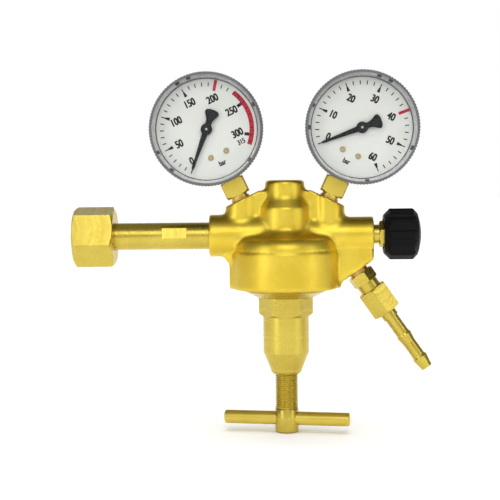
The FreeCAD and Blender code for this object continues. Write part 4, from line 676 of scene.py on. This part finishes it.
class Print:
    """Flat printed shapes on a dial, gathered into one mesh by colour."""

    def __init__(self):
        self.points = []
        self.faces = []
        self.inks = []

    def add(self, corners, ink, lift=PRINT_LIFT):
        """One flat shape; corners run counter-clockwise as seen by the reader."""
        first = len(self.points)
        self.points += [(across, up, DIAL_FRONT + lift) for across, up in corners]
        self.faces.append(tuple(range(first, first + len(corners))))
        self.inks.append(ink)

    def bar(self, angle, inner, outer, half_inner, half_outer, ink, lift=PRINT_LIFT):
        """A radial bar, which may taper."""
        along = Vector((math.sin(angle), math.cos(angle)))
        side = Vector((math.cos(angle), -math.sin(angle)))
        corners = [along * inner - side * half_inner, along * inner + side * half_inner,
                   along * outer + side * half_outer, along * outer - side * half_outer]
        self.add(corners, ink, lift)

    def arc(self, start, end, inner, outer, ink, steps=40):
        """A band along the scale."""
        for step in range(steps):
            first = start + (end - start) * step / steps
            last = start + (end - start) * (step + 1) / steps
            self.add([(inner * math.sin(first), inner * math.cos(first)),
                      (inner * math.sin(last), inner * math.cos(last)),
                      (outer * math.sin(last), outer * math.cos(last)),
                      (outer * math.sin(first), outer * math.cos(first))], ink)

    def words(self, text, high, angle, radius):
        """A black word of a given height, centred at an angle and a radius, and upright.

        It is drawn several times, a little to each side, so that it looks bold.
        """
        data = bpy.data.curves.new("words", "FONT")
        data.body = text
        holder = bpy.data.objects.new("words", data)
        mesh = bpy.data.meshes.new_from_object(holder)
        across = [point.co.x for point in mesh.vertices]
        up = [point.co.y for point in mesh.vertices]
        tall = high / (max(up) - min(up))
        wide = tall * NUMBER_WIDE
        middle = ((max(across) + min(across)) / 2, (max(up) + min(up)) / 2)
        centre = (radius * math.sin(angle), radius * math.cos(angle))
        bold = high / NUMBER_HIGH
        for copy, (right, rise) in enumerate(BOLD_STEPS):
            first = len(self.points)
            for point in mesh.vertices:
                self.points.append((
                    centre[0] + (point.co.x - middle[0]) * wide + right * NUMBER_BOLD[0] * bold,
                    centre[1] + (point.co.y - middle[1]) * tall + rise * NUMBER_BOLD[1] * bold,
                    DIAL_FRONT + PRINT_LIFT * (1 + copy * BOLD_LIFT)))
            for polygon in mesh.polygons:
                self.faces.append(tuple(first + index for index in polygon.vertices))
                self.inks.append(INK_BLACK)
        bpy.data.objects.remove(holder)
        bpy.data.curves.remove(data)
        bpy.data.meshes.remove(mesh)


def make_print(name):
    """The scale, its red marks, the numbers and the unit on one dial."""
    scale = SCALES[name]
    ink = Print()
    arc = scale["arc"]
    for value in range(0, scale["full"] + 1, scale["minor"]):
        angle = dial_angle(scale, value)
        if value == scale["line"]:
            ink.bar(angle, LINE_INNER, LINE_OUTER, LINE_HALF, LINE_HALF * LINE_FLARE, INK_RED)
        elif arc and arc[0] <= value <= arc[1]:
            ink.bar(angle, *ARC_TICK, TICK_HALF, TICK_HALF, INK_DARK_RED, PRINT_LIFT * 2)
        elif value % scale["major"] == 0:
            ink.bar(angle, WEDGE_INNER, WEDGE_OUTER, WEDGE_HALF, WEDGE_HALF / 2, INK_BLACK)
            ink.bar(angle, WEDGE_OUTER, MAJOR_OUTER, TICK_HALF, TICK_HALF, INK_BLACK)
        else:
            ink.bar(angle, TICK_INNER, TICK_OUTER, TICK_HALF, TICK_HALF, INK_BLACK)
    for value in scale["over_arc"]:
        ink.bar(dial_angle(scale, value), WEDGE_INNER, WEDGE_OUTER, WEDGE_HALF, WEDGE_HALF,
                INK_BLACK)
    if arc:
        ink.arc(dial_angle(scale, arc[0]), dial_angle(scale, arc[1]), ARC_INNER, ARC_OUTER,
                INK_RED)
    ink.words("0", NUMBER_HIGH, math.radians(ZERO_ANGLE), ZERO_RADIUS)
    for value in range(scale["major"], scale["full"] + 1, scale["major"]):
        ink.words(str(value), NUMBER_HIGH, dial_angle(scale, value), NUMBER_RADIUS)
    if scale["full"] % scale["major"]:
        ink.words(str(scale["full"]), SMALL_HIGH, dial_angle(scale, scale["full"]), UNIT_RADIUS)
    ink.words("bar", UNIT_HIGH, math.pi, UNIT_RADIUS)
    made = make_piece(name + "_dial_print", placed(gauge_frame(name), ink.points), ink.faces,
                      ("ink", "red", "red_dark"), "root")
    for polygon, colour in zip(made.data.polygons, ink.inks):
        polygon.material_index = colour


def make_pointer(name):
    """The pointer: a tapered blade with a bead near its tip, a hub and a rounded fan."""
    outline = POINTER_HALF + [(-across, up) for across, up in reversed(POINTER_HALF)]
    data = bpy.data.curves.new("blade", "CURVE")
    data.dimensions = "2D"
    data.fill_mode = "BOTH"
    data.extrude = POINTER_THICK / 2 - POINTER_EDGE
    data.bevel_depth = POINTER_EDGE
    data.bevel_resolution = 1
    spline = data.splines.new("POLY")
    spline.points.add(len(outline) - 1)
    for point, (across, up) in zip(spline.points, outline):
        point.co = (across, up, 0.0, 1.0)
    spline.use_cyclic_u = True
    holder = bpy.data.objects.new("blade", data)
    blade = bpy.data.meshes.new_from_object(holder)
    middle = POINTER_BACK + POINTER_THICK / 2
    points = [(point.co.x, point.co.y, middle + point.co.z) for point in blade.vertices]
    faces = [tuple(polygon.vertices) for polygon in blade.polygons]
    bpy.data.objects.remove(holder)
    section = [(ARBOR_RADIUS, HUB_BACK), (HUB_RADIUS - 0.5, HUB_BACK),
               (HUB_RADIUS, HUB_BACK + HUB_EDGE), (HUB_RADIUS, HUB_FRONT - HUB_EDGE),
               (HUB_RADIUS - 0.15, HUB_FRONT - 0.1), (HUB_RADIUS - 0.5, HUB_FRONT),
               (ARBOR_RADIUS, HUB_FRONT)]
    first = len(points)
    for step in range(HUB_STEPS):
        angle = 2 * math.pi * step / HUB_STEPS
        for radius, forward in section:
            points.append((radius * math.sin(angle), radius * math.cos(angle), forward))
    faces += ring_faces(HUB_STEPS, len(section), first)
    turned_back = gauge_frame(name) @ Matrix.Rotation(-math.radians(SWEEP_START), 4, "Z")
    pointer = make_piece(name + "_pointer_painted", placed(turned_back, points), faces, "pointer",
                         name + "_pointer")
    smooth_by_angle(pointer.data, POINTER_CREASE)
    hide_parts(name + "_gauge_pointer")


def thread_share(turns):
    """Depth of a thread's groove from 0 to 1 along one pitch, with flat crest and root."""
    phase = turns - math.floor(turns)
    slope = abs(phase - 0.5) * 2
    return min(max((THREAD_ROOT - slope) / THREAD_FLANK, 0.0), 1.0)


def make_screw():
    """The adjusting screw: a threaded shank over the plain head that holds the tee bar."""
    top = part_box("adjusting_screw")[1][2] / MM
    rows = [(HEAD_LOW, HEAD_RADIUS - HEAD_EDGE, 0.0),
            (HEAD_LOW + HEAD_BREAK, HEAD_RADIUS - HEAD_BREAK, 0.0),
            (HEAD_LOW + HEAD_EDGE, HEAD_RADIUS, 0.0),
            (THREAD_LOW - HEAD_EDGE, HEAD_RADIUS, 0.0),
            (THREAD_LOW - HEAD_BREAK, HEAD_RADIUS - HEAD_BREAK, 0.0),
            (THREAD_LOW, HEAD_RADIUS - HEAD_EDGE, 0.0)]
    count = int((top - THREAD_LOW) / THREAD_PITCH * THREAD_ROWS)
    for row in range(1, count + 1):
        high = THREAD_LOW + (top - THREAD_LOW) * row / count
        fade = min((high - THREAD_LOW) / THREAD_FADE, 1.0)
        rows.append((high, SCREW_RADIUS - max(high - top + HEAD_EDGE, 0.0), fade))
    points = []
    for high, radius, fade in rows:
        for step in range(THREAD_STEPS):
            turn = step / THREAD_STEPS
            dip = THREAD_DEPTH * fade * thread_share(high / THREAD_PITCH - turn)
            reach = radius - dip
            points.append(Vector((MAIN_X / MM + reach * math.cos(2 * math.pi * turn),
                                  reach * math.sin(2 * math.pi * turn), high)) * MM)
    faces = [tuple(reversed(range(THREAD_STEPS)))]
    for row in range(len(rows) - 1):
        for step in range(THREAD_STEPS):
            after = (step + 1) % THREAD_STEPS
            here = row * THREAD_STEPS
            there = here + THREAD_STEPS
            faces.append((here + step, here + after, there + after, there + step))
    last = (len(rows) - 1) * THREAD_STEPS
    faces.append(tuple(range(last, last + THREAD_STEPS)))
    screw = make_piece("adjusting_screw_threaded", points, faces, "turned_z", "adjusting_screw")
    smooth_by_angle(screw.data, SCREW_CREASE)
    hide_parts("adjusting_screw")


def squeeze_springs():
    """Gives each part that a joint deforms, the springs and the diaphragm, a mesh of its own."""
    for joint in frame["joints"]:
        for entry in joint.get("deforming_nodes", []):
            spring = CAD[entry["node"]]
            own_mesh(spring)


def make_forging_skin():
    """The forging with its creases filled to soft blends, as it leaves the dies."""
    source = CAD["body_forging"]
    skin = put(bpy.data.objects.new("body_forging_skin", source.data.copy()))
    web = bmesh.new()
    web.from_mesh(skin.data)
    ridge = max(vertex.co.z / MM for vertex in web.verts
                if abs(abs(vertex.co.x - MAIN_X) / MM - CREST_CORNER) < CREST_NEAR)
    for side in (-1, 1):
        corners = [web.verts.new((MAIN_X + side * out * MM, depth * MM, (ridge + rise) * MM))
                   for out, rise in CREST_WEB for depth in (-CREST_HALF, CREST_HALF)]
        bmesh.ops.convex_hull(web, input=corners)
    web.to_mesh(skin.data)
    web.free()
    remesh = skin.modifiers.new("even", "REMESH")
    remesh.mode = "VOXEL"
    remesh.voxel_size = SKIN_VOXEL * MM
    remesh.adaptivity = 0.0
    view = bpy.context.evaluated_depsgraph_get()
    mesh = bpy.data.meshes.new_from_object(skin.evaluated_get(view))
    skin.modifiers.clear()
    skin.data = mesh
    count = len(mesh.vertices)
    place = np.empty(count * 3)
    mesh.vertices.foreach_get("co", place)
    place = place.reshape(count, 3)
    ends = np.empty(len(mesh.edges) * 2, dtype=np.int64)
    mesh.edges.foreach_get("vertices", ends)
    first, last = ends.reshape(-1, 2).T
    links = np.bincount(first, minlength=count) + np.bincount(last, minlength=count)

    out = np.hypot(place[:, 0] - MAIN_X, place[:, 1]) / MM
    high = place[:, 2] / MM
    groove = (high > SKIN_GROOVE[0]) & (high < SKIN_GROOVE[1]) & (out > SKIN_GROOVE_IN)
    bore = ((out < SKIN_BELL_BORE) & (high < SKIN_BELL_TOP)) | (out < SKIN_CORE)
    free = np.where(groove | bore, 0.0, SKIN_RATE)
    normals = np.empty(count * 3)
    for turn in range(SKIN_PASSES):
        if turn % SKIN_REFRESH == 0:
            mesh.vertices.foreach_set("co", place.ravel())
            mesh.update()
            mesh.vertex_normals.foreach_get("vector", normals)
            facing = normals.reshape(count, 3)
        pull = np.stack([np.bincount(first, place[last, axis], count)
                         + np.bincount(last, place[first, axis], count)
                         for axis in range(3)], axis=1) / links[:, None] - place
        hollow = np.einsum("ij,ij->i", pull, facing) > 0
        moving = free if turn < SKIN_EVEN else np.where(hollow, free, 0.0)
        place += pull * moving[:, None]
    mesh.vertices.foreach_set("co", place.ravel())
    mesh.update()
    for polygon in mesh.polygons:
        polygon.use_smooth = True
    paint(skin, MATERIALS["forged"])
    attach(skin, "root")
    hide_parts("body_forging")


make_camera()
make_floor()
make_world()
make_light()
MATERIALS = make_materials()
paint_nodes()
for gauge in NAMES:
    make_rim(gauge)
    make_pane(gauge)
    make_print(gauge)
    make_pointer(gauge)
make_screw()
make_forging_skin()
squeeze_springs()
bpy.context.scene.view_settings.view_transform = "Standard"
